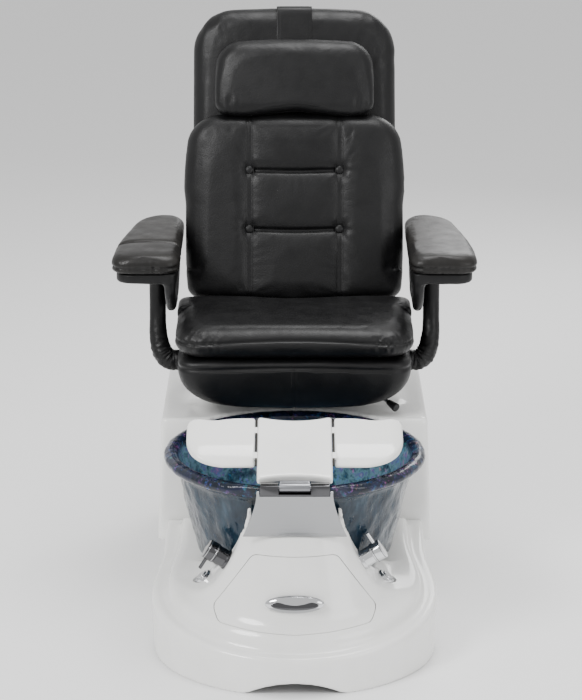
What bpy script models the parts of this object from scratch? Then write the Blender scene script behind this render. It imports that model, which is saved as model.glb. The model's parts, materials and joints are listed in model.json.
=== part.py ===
"""Pedicure spa chair: a moulded base with a glass foot bowl, a folding three-pad footrest and a reclining seat.

Units are metres, +Z is up, the front faces -Y, and the origin is on the floor under the middle of the chair.
"""

from math import atan2, cos, hypot, pi, radians, sin, sqrt

import bmesh
import bpy
from mathutils import Matrix, Vector

# Overall size
LENGTH = 1.310
FRONT_Y = -LENGTH / 2
REAR_Y = LENGTH / 2
GAP = 0.0003            # between touching pieces
WALL = 0.008            # laminate of the moulded base

# Plinth: a rounded front foot whose rim rises towards the back
PLINTH_HALF = 0.333
PLINTH_WIDEST_Y = -0.345
PLINTH_BACK_Y = -0.020
WAIST_HALF = 0.312
WAIST_Y = -0.150
RIM_FRONT_Z = 0.085
RIM_SLOPE = 0.175       # rise of the rim per metre towards the back
TERRACE_INSET = 0.038
TERRACE_RISE = 0.030

# Bowl
BOWL_Y = -0.245
BOWL_RIM_Z = 0.452
BOWL_RIM_RADIUS = 0.300
BOWL_ROLL = 0.013       # radius of the rolled rim
BOWL_WALL = 0.009
BOWL_FOOT_Z = 0.205
BOWL_FOOT_RADIUS = 0.226
BOWL_NECK_Z = 0.425
BOWL_NECK_RADIUS = 0.278
BOWL_SIDES = 64
BOWL_GAP = 0.006

# Console: a cone-faced ridge in front of the bowl, with hollow side walls that end in two fins
HILL_Y = -0.325
HILL_LOW_Z = 0.060
HILL_TOP_Z = 0.330
HILL_TOP_RADIUS = 0.1973
HILL_FLARE = 0.374      # loss of radius per metre of height
FIN_TOP_Z = 0.394
FIN_THICK = 0.007
SIDE_WALL = ((0.105, 0.394), (0.109, 0.366), (0.115, 0.340), (0.124, 0.312), (0.134, 0.288), (0.147, 0.262),
             (0.161, 0.237), (0.183, 0.205), (0.210, 0.180), (0.238, 0.164), (0.265, 0.155))
VALVE_PLACE = (0.153, -0.459, 0.251)
VALVE_RISE = radians(32)
SWITCH_PLACE = (0.2105, -0.385, 0.180)
SWITCH_RISE = radians(51)

# Rear cabinet and seat pedestal
CABINET_TOP_Z = 0.445
CABINET_HALF = 0.335
CABINET_TOP_HALF = 0.323
KICK_Z = 0.130
KICK_HALF = 0.312
PEDESTAL_TOP_Z = 0.485
PEDESTAL_FRONT_Y = 0.110
PEDESTAL_BACK_Y = 0.430
PEDESTAL_HALF = 0.262
PEDESTAL_TOP_HALF = 0.250

# Footrest
FOOTREST_PIVOT = Vector((0, -0.567, 0.462))
FOOTREST_TILT = radians(20.9)
PAD_TOP = 0.005         # pad surface above the pivot, square to the pad
PAD_THICK = 0.020
CENTRE_HALF = 0.083
CENTRE_START = 0.026
CENTRE_END = 0.250
WING_INNER = 0.0915
WING_OUTER = 0.245
WING_START = 0.073
WING_END = 0.245

# Seat
SEAT_HALF = 0.285
SEAT_FRONT_Y = -0.065
SEAT_BACK_Y = 0.262
SHELL_HALF = 0.278
RAIL_X = 0.150

# Backrest, leaning back about the recline pins
RECLINE_PIN = Vector((0, 0.345, 0.560))
BACK_LEAN = radians(15)
BACK_TOP = 0.830
BACK_HALF = 0.250
CUSHION_HALF = 0.266
CUSHION_LOW = 0.105
CUSHION_HIGH = 0.553
BUTTON_X = 0.113
BUTTON_HEIGHTS = (0.266, 0.414)

# Armrests
ARM_INNER = 0.272
ARM_OUTER = 0.436
ARM_FRONT_Y = 0.000
ARM_BACK_Y = 0.462
ARM_TOP_Z = 0.850
ARM_PIVOT_Y = 0.150
ARM_PIVOT_Z = 0.550
TUBE_X = 0.338
TUBE_RADIUS = 0.022


# ---------------------------------------------------------------- helpers

def clear_scene():
    for old in list(bpy.data.objects):
        bpy.data.objects.remove(old)


def collection(name):
    made = bpy.data.collections.new(name)
    bpy.context.scene.collection.children.link(made)
    return made


def material(name, colour, roughness, metallic=0.0):
    made = bpy.data.materials.new(name)
    made.use_nodes = True
    shader = made.node_tree.nodes["Principled BSDF"]
    shader.inputs["Base Color"].default_value = (*colour, 1)
    shader.inputs["Roughness"].default_value = roughness
    shader.inputs["Metallic"].default_value = metallic
    return made


def place(name, mesh, finish=None, parent=None, matrix=None):
    """A part if it has a finish, otherwise a cutter."""
    made = bpy.data.objects.new(name, mesh)
    if parent is not None:
        made.parent = parent
    if matrix is not None:
        made.matrix_basis = matrix
    if finish is None:
        CUTTERS.objects.link(made)
        made.hide_render = True
        made.display_type = "WIRE"
    else:
        PARTS.objects.link(made)
        mesh.materials.append(finish)
    return made


def empty(name, location, rotation_x=0.0):
    made = bpy.data.objects.new(name, None)
    made.location = location
    made.rotation_euler = (rotation_x, 0, 0)
    PARTS.objects.link(made)
    bpy.context.view_layer.update()
    return made


def mesh_from(shape):
    mesh = bpy.data.meshes.new("mesh")
    shape.to_mesh(mesh)
    shape.free()
    mesh.set_sharp_from_angle(angle=radians(35))
    return mesh


def block(name, low, high, finish=None, parent=None, taper=(1, 1), round_off=0.0, segments=2):
    """A box between two corners. taper scales its top face in X and Y, and round_off bevels its edges."""
    low, high = Vector(low), Vector(high)
    shape = bmesh.new()
    bmesh.ops.create_cube(shape, size=1)
    for vert in shape.verts:
        if vert.co.z > 0:
            vert.co.x *= taper[0]
            vert.co.y *= taper[1]
        vert.co = Vector(a * b for a, b in zip(vert.co, high - low))
    made = place(name, mesh_from(shape), finish, parent, Matrix.Translation((low + high) / 2))
    if round_off:
        bevel = made.modifiers.new("round_off", "BEVEL")
        bevel.width = round_off
        bevel.segments = segments
        bevel.limit_method = "NONE"
    return made


def rod(name, start, end, radius, finish=None, parent=None, end_radius=None, sides=24):
    """A cylinder or cone between two points."""
    start, end = Vector(start), Vector(end)
    shape = bmesh.new()
    bmesh.ops.create_cone(shape, cap_ends=True, segments=sides, radius1=radius,
                          radius2=radius if end_radius is None else end_radius, depth=(end - start).length)
    turn = (end - start).to_track_quat("Z", "Y").to_matrix().to_4x4()
    return place(name, mesh_from(shape), finish, parent, Matrix.Translation((start + end) / 2) @ turn)


def ball(name, centre, radius, finish, parent=None):
    shape = bmesh.new()
    bmesh.ops.create_uvsphere(shape, u_segments=20, v_segments=12, radius=radius)
    return place(name, mesh_from(shape), finish, parent, Matrix.Translation(centre))


def turned(name, profile, centre, finish=None, parent=None, steps=BOWL_SIDES, sweep=2 * pi, turn=0.0):
    """A profile of (radius, height) points, outer side first and downwards, spun about Z."""
    shape = bmesh.new()
    verts = [shape.verts.new((radius, 0, height)) for radius, height in profile]
    for a, b in zip(verts, verts[1:]):
        shape.edges.new((a, b))
    whole = sweep > 6.28
    if profile[0][0] > 0:
        shape.edges.new((verts[-1], verts[0]))
    mesh = mesh_from(shape)
    made = place(name, mesh, finish, parent, Matrix.Translation(centre) @ Matrix.Rotation(turn, 4, "Z"))
    screw = made.modifiers.new("spin", "SCREW")
    screw.angle = sweep
    screw.steps = steps
    screw.render_steps = steps
    screw.use_merge_vertices = whole
    screw.merge_threshold = 0.0001
    screw.use_smooth_shade = False
    return made


def extruded(name, outline, low, high, finish=None, parent=None, matrix=None):
    """A flat outline of (x, y) points, as a solid from the height low to the height high."""
    curve = bpy.data.curves.new(name, "CURVE")
    curve.dimensions = "2D"
    curve.fill_mode = "BOTH"
    curve.extrude = (high - low) / 2
    spline = curve.splines.new("POLY")
    spline.points.add(len(outline) - 1)
    for point, (x, y) in zip(spline.points, outline):
        point.co = (x, y, 0, 1)
    spline.use_cyclic_u = True
    mesh = solid_mesh_of(curve)
    mesh.transform(Matrix.Translation((0, 0, (low + high) / 2)))
    return place(name, mesh, finish, parent, matrix)


def tube(name, points, radius, finish, parent=None, sides=2):
    """A round bar along a poly line, with capped ends, as a mesh."""
    curve = bpy.data.curves.new(name, "CURVE")
    curve.dimensions = "3D"
    curve.bevel_depth = radius
    curve.bevel_resolution = sides
    curve.use_fill_caps = True
    spline = curve.splines.new("POLY")
    spline.points.add(len(points) - 1)
    for point, place_at in zip(spline.points, points):
        point.co = (*place_at, 1)
    return place(name, solid_mesh_of(curve), finish, parent)


def solid_mesh_of(curve):
    """The closed mesh of a curve: its caps are welded to its sides."""
    holder = bpy.data.objects.new("holder", curve)
    bpy.context.scene.collection.objects.link(holder)
    graph = bpy.context.evaluated_depsgraph_get()
    mesh = bpy.data.meshes.new_from_object(holder.evaluated_get(graph))
    bpy.data.objects.remove(holder)
    shape = bmesh.new()
    shape.from_mesh(mesh)
    bmesh.ops.remove_doubles(shape, verts=shape.verts, dist=0.00005)
    bmesh.ops.recalc_face_normals(shape, faces=shape.faces)
    shape.to_mesh(mesh)
    shape.free()
    mesh.set_sharp_from_angle(angle=radians(35))
    return mesh


def shape_with(made, operation, *tools):
    for tool in tools:
        modifier = made.modifiers.new(operation.lower(), "BOOLEAN")
        modifier.operation = operation
        modifier.solver = "EXACT"
        modifier.object = tool
    return made


def cut(made, *tools):
    return shape_with(made, "DIFFERENCE", *tools)


def join(made, *tools):
    return shape_with(made, "UNION", *tools)


def round_corners(corners, radius, steps=5):
    """An outline with each corner replaced by an arc; radius is one number or one for each corner."""
    count = len(corners)
    radii = radius if isinstance(radius, (list, tuple)) else [radius] * count
    outline = []
    for i, corner in enumerate(corners):
        here = Vector(corner)
        before = (Vector(corners[i - 1]) - here).normalized()
        after = (Vector(corners[(i + 1) % count]) - here).normalized()
        half = before.angle(after) / 2
        reach = radii[i] / sin(half)
        centre = here + (before + after).normalized() * reach
        first = here + before * (radii[i] * cos(half) / sin(half)) - centre
        last = here + after * (radii[i] * cos(half) / sin(half)) - centre
        turn = first.angle_signed(last)
        for step in range(steps + 1):
            part = -turn * step / steps
            spoke = Vector((first.x * cos(part) - first.y * sin(part), first.x * sin(part) + first.y * cos(part)))
            outline.append(tuple(centre + spoke))
    return outline


# ---------------------------------------------------------------- base

def rim_height(y):
    return RIM_FRONT_Z + RIM_SLOPE * (y - FRONT_Y)


def plinth_half(y):
    """Half the plinth's width at y."""
    if y < PLINTH_WIDEST_Y:
        share = (PLINTH_WIDEST_Y - y) / (PLINTH_WIDEST_Y - FRONT_Y)
        return PLINTH_HALF * sqrt(max(0.0, 1 - share * share))
    if y < WAIST_Y:
        share = (y - PLINTH_WIDEST_Y) / (WAIST_Y - PLINTH_WIDEST_Y)
        return WAIST_HALF + (PLINTH_HALF - WAIST_HALF) * (1 + cos(pi * share)) / 2
    return WAIST_HALF


def plinth_outline(inset):
    """The plinth's outline, moved in by inset, from its back right round the front to its back left."""
    right = []
    back = PLINTH_BACK_Y - GAP - inset
    for step in range(9):
        y = back + (PLINTH_WIDEST_Y - back) * step / 8
        right.append((plinth_half(y) - inset, y))
    for step in range(1, 13):
        angle = pi / 2 * step / 12
        right.append(((PLINTH_HALF - inset) * cos(angle),
                      PLINTH_WIDEST_Y - (PLINTH_WIDEST_Y - FRONT_Y - inset) * sin(angle)))
    return right + [(-x, y) for x, y in reversed(right[:-1])]


def above_rim(name, rise):
    """A cutter that holds all space higher than rise over the sloping rim plane."""
    size = 0.6
    tilt = Matrix.Rotation(atan2(RIM_SLOPE, 1), 4, "X")
    made = block(name, (-size, -size, 0), (size, 1.4 * size, size))
    made.matrix_basis = Matrix.Translation((0, FRONT_Y, RIM_FRONT_Z + rise)) @ tilt @ made.matrix_basis
    return made


def bowl_radius(z):
    """Outer radius of the bowl's wall at a height."""
    share = (z - BOWL_FOOT_Z) / (BOWL_NECK_Z - BOWL_FOOT_Z)
    return BOWL_FOOT_RADIUS + (BOWL_NECK_RADIUS - BOWL_FOOT_RADIUS) * share


def bowl_space(name, gap, low=BOWL_FOOT_Z - BOWL_GAP, high=BOWL_RIM_Z + 0.10):
    """A cutter that leaves a gap round the bowl's wall."""
    return rod(name, (0, BOWL_Y, low), (0, BOWL_Y, high), bowl_radius(low) + gap,
               end_radius=bowl_radius(high) + gap, sides=BOWL_SIDES)


def hill_radius(z):
    return HILL_TOP_RADIUS + HILL_FLARE * (HILL_TOP_Z - z)


def hill(name, inset, low, high):
    return rod(name, (0, HILL_Y, low), (0, HILL_Y, high), hill_radius(low) - inset,
               end_radius=hill_radius(high) - inset, sides=72)


def beside_console(name, side, grow=0.0):
    """A cutter that holds the space outside a side wall of the console."""
    profile = [(side * (x - grow), z) for x, z in SIDE_WALL]
    top_x, low_z = SIDE_WALL[0][0] - grow, SIDE_WALL[-1][1]
    outline = [(side * 0.60, 0.60), (side * top_x, 0.60)] + profile + [(side * 0.34, low_z - 0.06), (side * 0.60, low_z - 0.06)]
    return extruded(name, outline, 0.05, 0.75, matrix=Matrix.Rotation(radians(90), 4, "X"))


def fitting_place(side, place_at, rise):
    """Where a fitting stands on a side wall, and the direction it points in."""
    x, y, z = place_at
    return Vector((side * x, y, z)), Vector((side * cos(rise), 0, sin(rise)))


def door_outline(grow):
    """The access door seen from the front: (x, z) corners, rounded."""
    right = [(0.085, 0.132 - grow), (0.172 + grow, 0.138 - grow), (0.186 + grow, 0.161), (0.094 + grow / 2, 0.287 + grow)]
    corners = [(0, 0.129 - grow)] + right + [(-x, z) for x, z in reversed(right)]
    return round_corners(corners, [0.05, 0.05, 0.016, 0.018, 0.025, 0.025, 0.018, 0.016, 0.05], steps=4)


def door_prism(name, grow):
    upright = Matrix.Rotation(radians(90), 4, "X")
    return extruded(name, door_outline(grow), 0.40, 0.75, matrix=upright)


def build_base():
    plinth = extruded("base_front", plinth_outline(0), 0, 0.300, GELCOAT)
    cut(plinth, above_rim("rim_plane", 0))
    terrace = extruded("terrace", plinth_outline(TERRACE_INSET), 0.02, 0.300)
    cut(terrace, above_rim("terrace_plane", TERRACE_RISE))
    console = hill("console", 0, HILL_LOW_Z, HILL_TOP_Z)
    fins = rod("fins", (0, BOWL_Y, 0.240), (0, BOWL_Y, FIN_TOP_Z), bowl_radius(0.240) + BOWL_GAP + FIN_THICK,
               end_radius=bowl_radius(FIN_TOP_Z) + BOWL_GAP + FIN_THICK, sides=BOWL_SIDES)
    cut(fins, block("behind_fins", (-0.5, HILL_Y - 0.05, 0.1), (0.5, 0.3, 0.6)))
    join(console, fins)
    window = [(-0.098, 0.60), (-0.098, 0.370), (-0.108, HILL_TOP_Z + 0.0001), (0.108, HILL_TOP_Z + 0.0001), (0.098, 0.370),
              (0.098, 0.60)]
    cut(console, extruded("plate_window", window, 0.30, 0.75, matrix=Matrix.Rotation(radians(90), 4, "X")),
        beside_console("beside_left", -1), beside_console("beside_right", 1))
    join(plinth, terrace, console)
    cut(plinth, bowl_space("bowl_seat", BOWL_GAP, low=BOWL_FOOT_Z - GAP))
    under_rim = extruded("under_rim", plinth_outline(WALL), -0.01, 0.250)
    cut(under_rim, above_rim("under_rim_plane", -WALL))
    under_bowl = rod("under_bowl", (0, BOWL_Y, 0.05), (0, BOWL_Y, BOWL_FOOT_Z - GAP - WALL), 0.205, sides=48)
    behind_door = hill("behind_door", WALL, 0.05, HILL_TOP_Z - 0.009)
    cut(behind_door, beside_console("behind_left", -1, 0.012), beside_console("behind_right", 1, 0.012),
        bowl_space("behind_bowl", BOWL_GAP + WALL, low=BOWL_FOOT_Z - GAP - WALL))
    cut(plinth, under_rim, under_bowl, behind_door, door_prism("door_opening", 0.0015))
    cut(plinth, block("pipe_way", (-0.10, -0.06, -0.01), (0.10, 0.01, 0.15)))
    cut(plinth, rod("floor_notch", (0, FRONT_Y - 0.05, -0.192), (0, -0.56, -0.192), 0.219, sides=64))
    drain_way = rod("drain_way", (0, BOWL_Y, 0.10), (0, BOWL_Y, 0.23), 0.036)
    cut(plinth, drain_way)

    door = hill("access_door", 0, 0.100, 0.300)
    door.name = "door_face"
    hollow = hill("door_hollow", WALL, 0.090, 0.310)
    panel = extruded("access_door", door_outline(0), 0.40, 0.75, GELCOAT, matrix=Matrix.Rotation(radians(90), 4, "X"))
    shape_with(panel, "INTERSECT", door)
    cut(panel, hollow, block("door_back", (-0.4, HILL_Y - 0.035, 0), (0.4, 0.2, 0.5)))
    build_door_handle()
    build_cabinet()


def build_door_handle():
    """An oval cup pull on the door's face, open at its lower side."""
    outward = Vector((0, -1, HILL_FLARE)).normalized()
    z = 0.190
    centre = Vector((0, HILL_Y - hill_radius(z), z))
    turn = outward.to_track_quat("Z", "Y").to_matrix().to_4x4()
    holder = Matrix.Translation(centre + outward * (GAP + 0.0022)) @ turn
    outline = [(0.067 * cos(a), 0.021 * sin(a)) for a in (2 * pi * i / 32 for i in range(32))]
    pull = extruded("door_pull", outline, 0, 0.016, CHROME, matrix=holder)
    scoop = extruded("pull_scoop", [(0.9 * x, 0.72 * y - 0.006) for x, y in outline], 0.004, 0.0135, matrix=holder)
    mouth = block("pull_mouth", (-0.045, -0.030, 0.004), (0.045, -0.008, 0.0135))
    mouth.matrix_basis = holder @ mouth.matrix_basis
    cut(pull, scoop, mouth)


def build_cabinet():
    low, high = PLINTH_BACK_Y, REAR_Y
    panel_y = REAR_Y - 0.012
    body = block("rear_cabinet", (-CABINET_HALF, low, KICK_Z), (CABINET_HALF, panel_y, CABINET_TOP_Z),
                 GELCOAT, taper=(CABINET_TOP_HALF / CABINET_HALF, 1))
    kick = block("kick", (-KICK_HALF, low, 0), (KICK_HALF, panel_y, KICK_Z + 0.02))
    pedestal = block("pedestal", (-PEDESTAL_HALF, PEDESTAL_FRONT_Y, CABINET_TOP_Z - 0.02),
                     (PEDESTAL_HALF, PEDESTAL_BACK_Y, PEDESTAL_TOP_Z), taper=(PEDESTAL_TOP_HALF / PEDESTAL_HALF, 0.97))
    join(body, kick, pedestal)
    rim_space = rod("rim_space", (0, BOWL_Y, BOWL_RIM_Z - 2 * BOWL_ROLL - 0.006), (0, BOWL_Y, 0.60),
                    BOWL_RIM_RADIUS + 0.004, sides=BOWL_SIDES)
    cut(body, bowl_space("bowl_in_cabinet", BOWL_GAP), rim_space)
    cut(body, block("cabinet_room", (-KICK_HALF + 0.012, 0.075, -0.01), (KICK_HALF - 0.012, REAR_Y, CABINET_TOP_Z - 0.012)))
    cut(body, rod("jet_way", (0, 0.10, 0.315), (0, -0.05, 0.315), 0.062, sides=32))
    cut(body, block("under_bowl_room", (-0.20, -0.10, -0.01), (0.20, 0.10, 0.185)))

    panel = block("rear_panel", (-CABINET_HALF + 0.001, panel_y + GAP, KICK_Z), (CABINET_HALF - 0.001, REAR_Y, CABINET_TOP_Z),
                  GELCOAT, taper=(CABINET_TOP_HALF / CABINET_HALF, 1))
    cut(panel, block("inlet_way", (-0.216, 0.60, 0.174), (-0.184, 0.70, 0.206)))
    cut(panel, block("water_way", (0.089, 0.60, 0.1785), (0.171, 0.70, 0.2015)))

    inlet_y = panel_y - 0.004
    block("power_inlet", (-0.2155, inlet_y - 0.012, 0.1745), (-0.1845, REAR_Y - 0.001, 0.2055), PLASTIC, round_off=0.003)
    manifold = block("water_inlets", (0.0895, inlet_y - 0.010, 0.179), (0.1705, REAR_Y - 0.0025, 0.201), PLASTIC)
    for x in (0.1085, 0.1515):
        join(manifold, rod(f"hose_end_{x}", (x, inlet_y - 0.04, 0.19), (x, REAR_Y - 0.0008, 0.19), 0.0100))


# ---------------------------------------------------------------- bowl and its fittings

def build_bowl():
    """A turned glass bowl with a rolled rim, a hole for the drain and one for the jet."""
    inside = BOWL_WALL
    roll_z = BOWL_RIM_Z - BOWL_ROLL
    roll_r = BOWL_RIM_RADIUS - BOWL_ROLL
    profile = [(roll_r + BOWL_ROLL * cos(a), roll_z + BOWL_ROLL * sin(a))
               for a in (radians(d) for d in (150, 120, 90, 60, 30, 0, -30, -60, -90))]
    profile += [(BOWL_NECK_RADIUS, BOWL_NECK_Z - 0.004), (BOWL_FOOT_RADIUS, BOWL_FOOT_Z + 0.012),
                (BOWL_FOOT_RADIUS - 0.010, BOWL_FOOT_Z), (0.026, BOWL_FOOT_Z), (0.026, BOWL_FOOT_Z + inside),
                (BOWL_FOOT_RADIUS - 0.040, BOWL_FOOT_Z + inside), (BOWL_FOOT_RADIUS - 0.016, BOWL_FOOT_Z + 0.026),
                (BOWL_NECK_RADIUS - inside, BOWL_NECK_Z)]
    bowl = turned("bowl", profile, (0, BOWL_Y, 0), GLASS)
    cut(bowl, rod("jet_hole", (0, 0.06, 0.315), (0, -0.06, 0.315), 0.040, sides=32))

    z = BOWL_FOOT_Z + inside
    turned("drain_flange", [(0.037, z + 0.0035), (0.037, z + GAP), (0.0255, z + GAP), (0.0255, z - 0.075),
                            (0.0215, z - 0.075), (0.0215, z + 0.0035)], (0, BOWL_Y, 0), CHROME, steps=32)
    turned("drain_plug", [(0.0, z + 0.012), (0.012, z + 0.0115), (0.0195, z + 0.009), (0.0195, z + 0.004),
                          (0.006, z - 0.002), (0.006, z - 0.040), (0.0, z - 0.040)], (0, BOWL_Y, 0), CHROME, steps=28)
    tube("drain_elbow", [(0, BOWL_Y, z - 0.0755), (0, BOWL_Y, z - 0.110), (0, BOWL_Y + 0.012, z - 0.130),
                         (0, BOWL_Y + 0.040, z - 0.142), (0, BOWL_Y + 0.38, z - 0.150)], 0.020, PLASTIC, sides=3)
    build_jet()


def build_jet():
    """A water jet in the back of the bowl: housing, impeller under a cap, and the motor in the cabinet."""
    z = 0.315
    wall_y = BOWL_Y + bowl_radius(z)
    hub = (0, wall_y - 0.030, z)
    along_y = Matrix.Translation((0, 0, z)) @ Matrix.Rotation(radians(90), 4, "X")

    def ring(name, outer, inner, front, back, finish):
        profile = [(outer, -front), (outer, -back), (inner, -back), (inner, -front)]
        made = turned(name, profile, (0, 0, 0), finish, steps=32)
        made.matrix_basis = along_y
        return made

    housing = ring("jet_housing", 0.039, 0.034, wall_y - 0.0332, wall_y + 0.042, PLASTIC)
    join(housing, rod("jet_back", (0, wall_y + 0.036, z), (0, wall_y + 0.041, z), 0.0365, sides=32))
    cut(housing, rod("jet_shaft_way", (0, wall_y, z), (0, wall_y + 0.06, z), 0.0041, sides=20))
    cap = rod("jet_cap", (0, wall_y - 0.0335, z), (0, wall_y - 0.0395, z), 0.046, CHROME, end_radius=0.040, sides=32)
    for step in range(6):
        a = 2 * pi * step / 6
        slot = (0.022 * cos(a), 0.022 * sin(a) + z)
        cut(cap, rod(f"cap_hole_{step}", (slot[0], wall_y - 0.06, slot[1]), (slot[0], wall_y, slot[1]), 0.006, sides=12))
    impeller = rod("jet_impeller", (0, hub[1] + 0.012, z), (0, hub[1] + 0.040, z), 0.010, PLASTIC, sides=20)
    for step in range(3):
        blade = block(f"blade_{step}", (-0.0015, hub[1] + 0.014, -0.029), (0.0015, hub[1] + 0.034, 0.029))
        blade.matrix_basis = Matrix.Translation((0, 0, z)) @ Matrix.Rotation(pi * step / 3, 4, "Y") @ blade.matrix_basis
        join(impeller, blade)
    join(impeller, rod("jet_shaft", (0, hub[1] + 0.030, z), (0, wall_y + 0.055, z), 0.004, sides=16))
    motor = rod("jet_motor", (0, wall_y + 0.0425, z), (0, wall_y + 0.150, z), 0.036, STEEL, sides=28)
    cut(motor, rod("motor_bore", (0, wall_y, z), (0, wall_y + 0.060, z), 0.0041, sides=20))


def build_valves():
    """A mixer and a diverter on the console's side walls, each with a push switch below it."""
    base = bpy.data.objects["base_front"]
    for side, name, switch in ((-1, "mixer", "jet_switch"), (1, "diverter", "light_switch")):
        foot, out = fitting_place(side, VALVE_PLACE, VALVE_RISE)
        cut(base, rod(f"{name}_seat", foot, foot + out * 0.05, 0.0244, sides=32))
        body = rod(f"{name}_body", foot + out * 0.0050, foot + out * 0.0300, 0.0210, CHROME, sides=32)
        join(body, rod(f"{name}_flange", foot + out * GAP, foot + out * 0.0070, 0.0240, end_radius=0.0225, sides=32))
        knob = rod(f"{name}_knob", foot + out * 0.0303, foot + out * 0.0560, 0.0230, CHROME, sides=32)
        across = Vector((0, 1, 0))
        reach = out.cross(across) * side
        lever = reach if side > 0 else -reach
        middle = foot + out * 0.0440
        join(knob, rod(f"{name}_pin", middle + lever * 0.012, middle + lever * 0.050, 0.0042, sides=16))

        foot, out = fitting_place(side, SWITCH_PLACE, SWITCH_RISE)
        cut(base, rod(f"{switch}_seat", foot, foot + out * 0.05, 0.0234, sides=32))
        bezel = rod(f"{switch}_bezel", foot + out * GAP, foot + out * 0.0080, 0.0230, CHROME, end_radius=0.0200, sides=32)
        cut(bezel, rod(f"{switch}_way", foot - out * 0.002, foot + out * 0.02, 0.0135, sides=28))
        rod(f"{switch}_button", foot + out * 0.0045, foot + out * 0.0110, 0.0130, CHROME, sides=28)


# ---------------------------------------------------------------- footrest

def build_mirror_plate():
    """A flared mirror-finish plate on a steel post, from the console's top up to the footrest bracket."""
    low, high = Vector((0, -0.5150, HILL_TOP_Z + 0.0030)), Vector((0, -0.5665, 0.4462))
    up = (high - low).normalized()
    turn = Matrix((Vector((1, 0, 0)), up, Vector((1, 0, 0)).cross(up))).transposed().to_4x4()
    frame = Matrix.Translation(low) @ turn
    height = (high - low).length
    post = [(-0.045, 0), (0.045, 0), (0.045, height + 0.004), (-0.045, height + 0.004)]
    extruded("footrest_post", post, -0.003, 0.003, matrix=frame)
    half_low, half_high = 0.117, 0.085
    steps = 8
    side = [(half_high + (half_low - half_high) * (1 - s / steps) ** 1.4, height * s / steps) for s in range(steps + 1)]
    side += [(half_high, height + 0.014), (0.0785, height + 0.014), (0.0785, height)]
    outline = side + [(-x, y) for x, y in reversed(side)]
    extruded("mirror_plate", outline, 0.0045, 0.0070, CHROME, matrix=frame)


def build_footrest():
    pivot = FOOTREST_PIVOT
    x_half = 0.0775
    bracket = block("footrest_bracket", (-x_half, pivot.y - 0.014, pivot.z - 0.0150), (x_half, pivot.y + 0.014, pivot.z + 0.009),
                    CHROME, round_off=0.002)
    cut(bracket, block("knuckle_space", (-0.036, pivot.y - 0.030, pivot.z - 0.0115), (0.036, pivot.y + 0.03, pivot.z + 0.03)))
    bore = 0.0046
    cut(bracket, rod("pin_way", (-0.1, pivot.y, pivot.z), (0.1, pivot.y, pivot.z), bore, sides=20))
    join(bracket, bpy.data.objects["footrest_post"])
    rod("footrest_pin", (-x_half, pivot.y, pivot.z), (x_half, pivot.y, pivot.z), 0.0045, STEEL, sides=20)

    frame = empty("footrest_frame", pivot, FOOTREST_TILT)
    low, high = PAD_TOP - PAD_THICK, PAD_TOP
    arm = rod("footrest_arm", (-0.034, 0, 0), (0.034, 0, 0), 0.0105, STEEL, frame, sides=24)
    join(arm, block("arm_neck", (-0.030, 0.003, -0.0095), (0.030, 0.027, -0.0030), parent=frame),
         block("arm_step", (-0.033, 0.020, low - 0.0050), (0.033, 0.029, -0.0035), parent=frame),
         block("arm_plate", (-0.034, 0.021, low - 0.0055), (0.034, 0.210, low - GAP), parent=frame))
    cut(arm, rod("arm_bore", (-0.1, 0, 0), (0.1, 0, 0), 0.00462, parent=frame, sides=20))

    scoop = 0.012
    width = CENTRE_HALF
    arc = [-1 + 2 * i / 8 for i in range(9)]
    front = [(width * t, CENTRE_START + scoop * (1 - t * t)) for t in arc]
    back = [(-(width - 0.002) * t, CENTRE_END - scoop * (1 - t * t)) for t in arc]
    extruded("centre_pad", front + back, low, high, GELCOAT, frame)
    for side, name in ((-1, "left"), (1, "right")):
        corners = [(WING_INNER, WING_START), (WING_OUTER, WING_START + 0.006), (WING_OUTER, WING_END - 0.004),
                   (WING_INNER, WING_END)]
        outline = [(side * x, y) for x, y in round_corners(corners, [0.006, 0.050, 0.016, 0.006])]
        wing = extruded(f"wing_pad_{name}", outline, low, high, GELCOAT, frame)
        rod_x = side * (CENTRE_HALF + WING_INNER) / 2
        for step, start in enumerate((0.100, 0.190)):
            inner = rod_x - side * 0.0030
            join(wing, block(f"wing_lug_{name}_{step}", (min(inner, side * 0.1), start, high - 0.0063),
                             (max(inner, side * 0.1), start + 0.020, high - 0.0007), parent=frame))
        cut(wing, rod(f"wing_bore_{name}", (rod_x, 0.05, high - 0.0035), (rod_x, 0.30, high - 0.0035), 0.0022,
                      parent=frame, sides=16))
        rod(f"wing_hinge_rod_{name}", (rod_x, WING_START + 0.002, high - 0.0035), (rod_x, 0.240, high - 0.0035), 0.0021,
            STEEL, frame, sides=16)


# ---------------------------------------------------------------- seat

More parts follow.
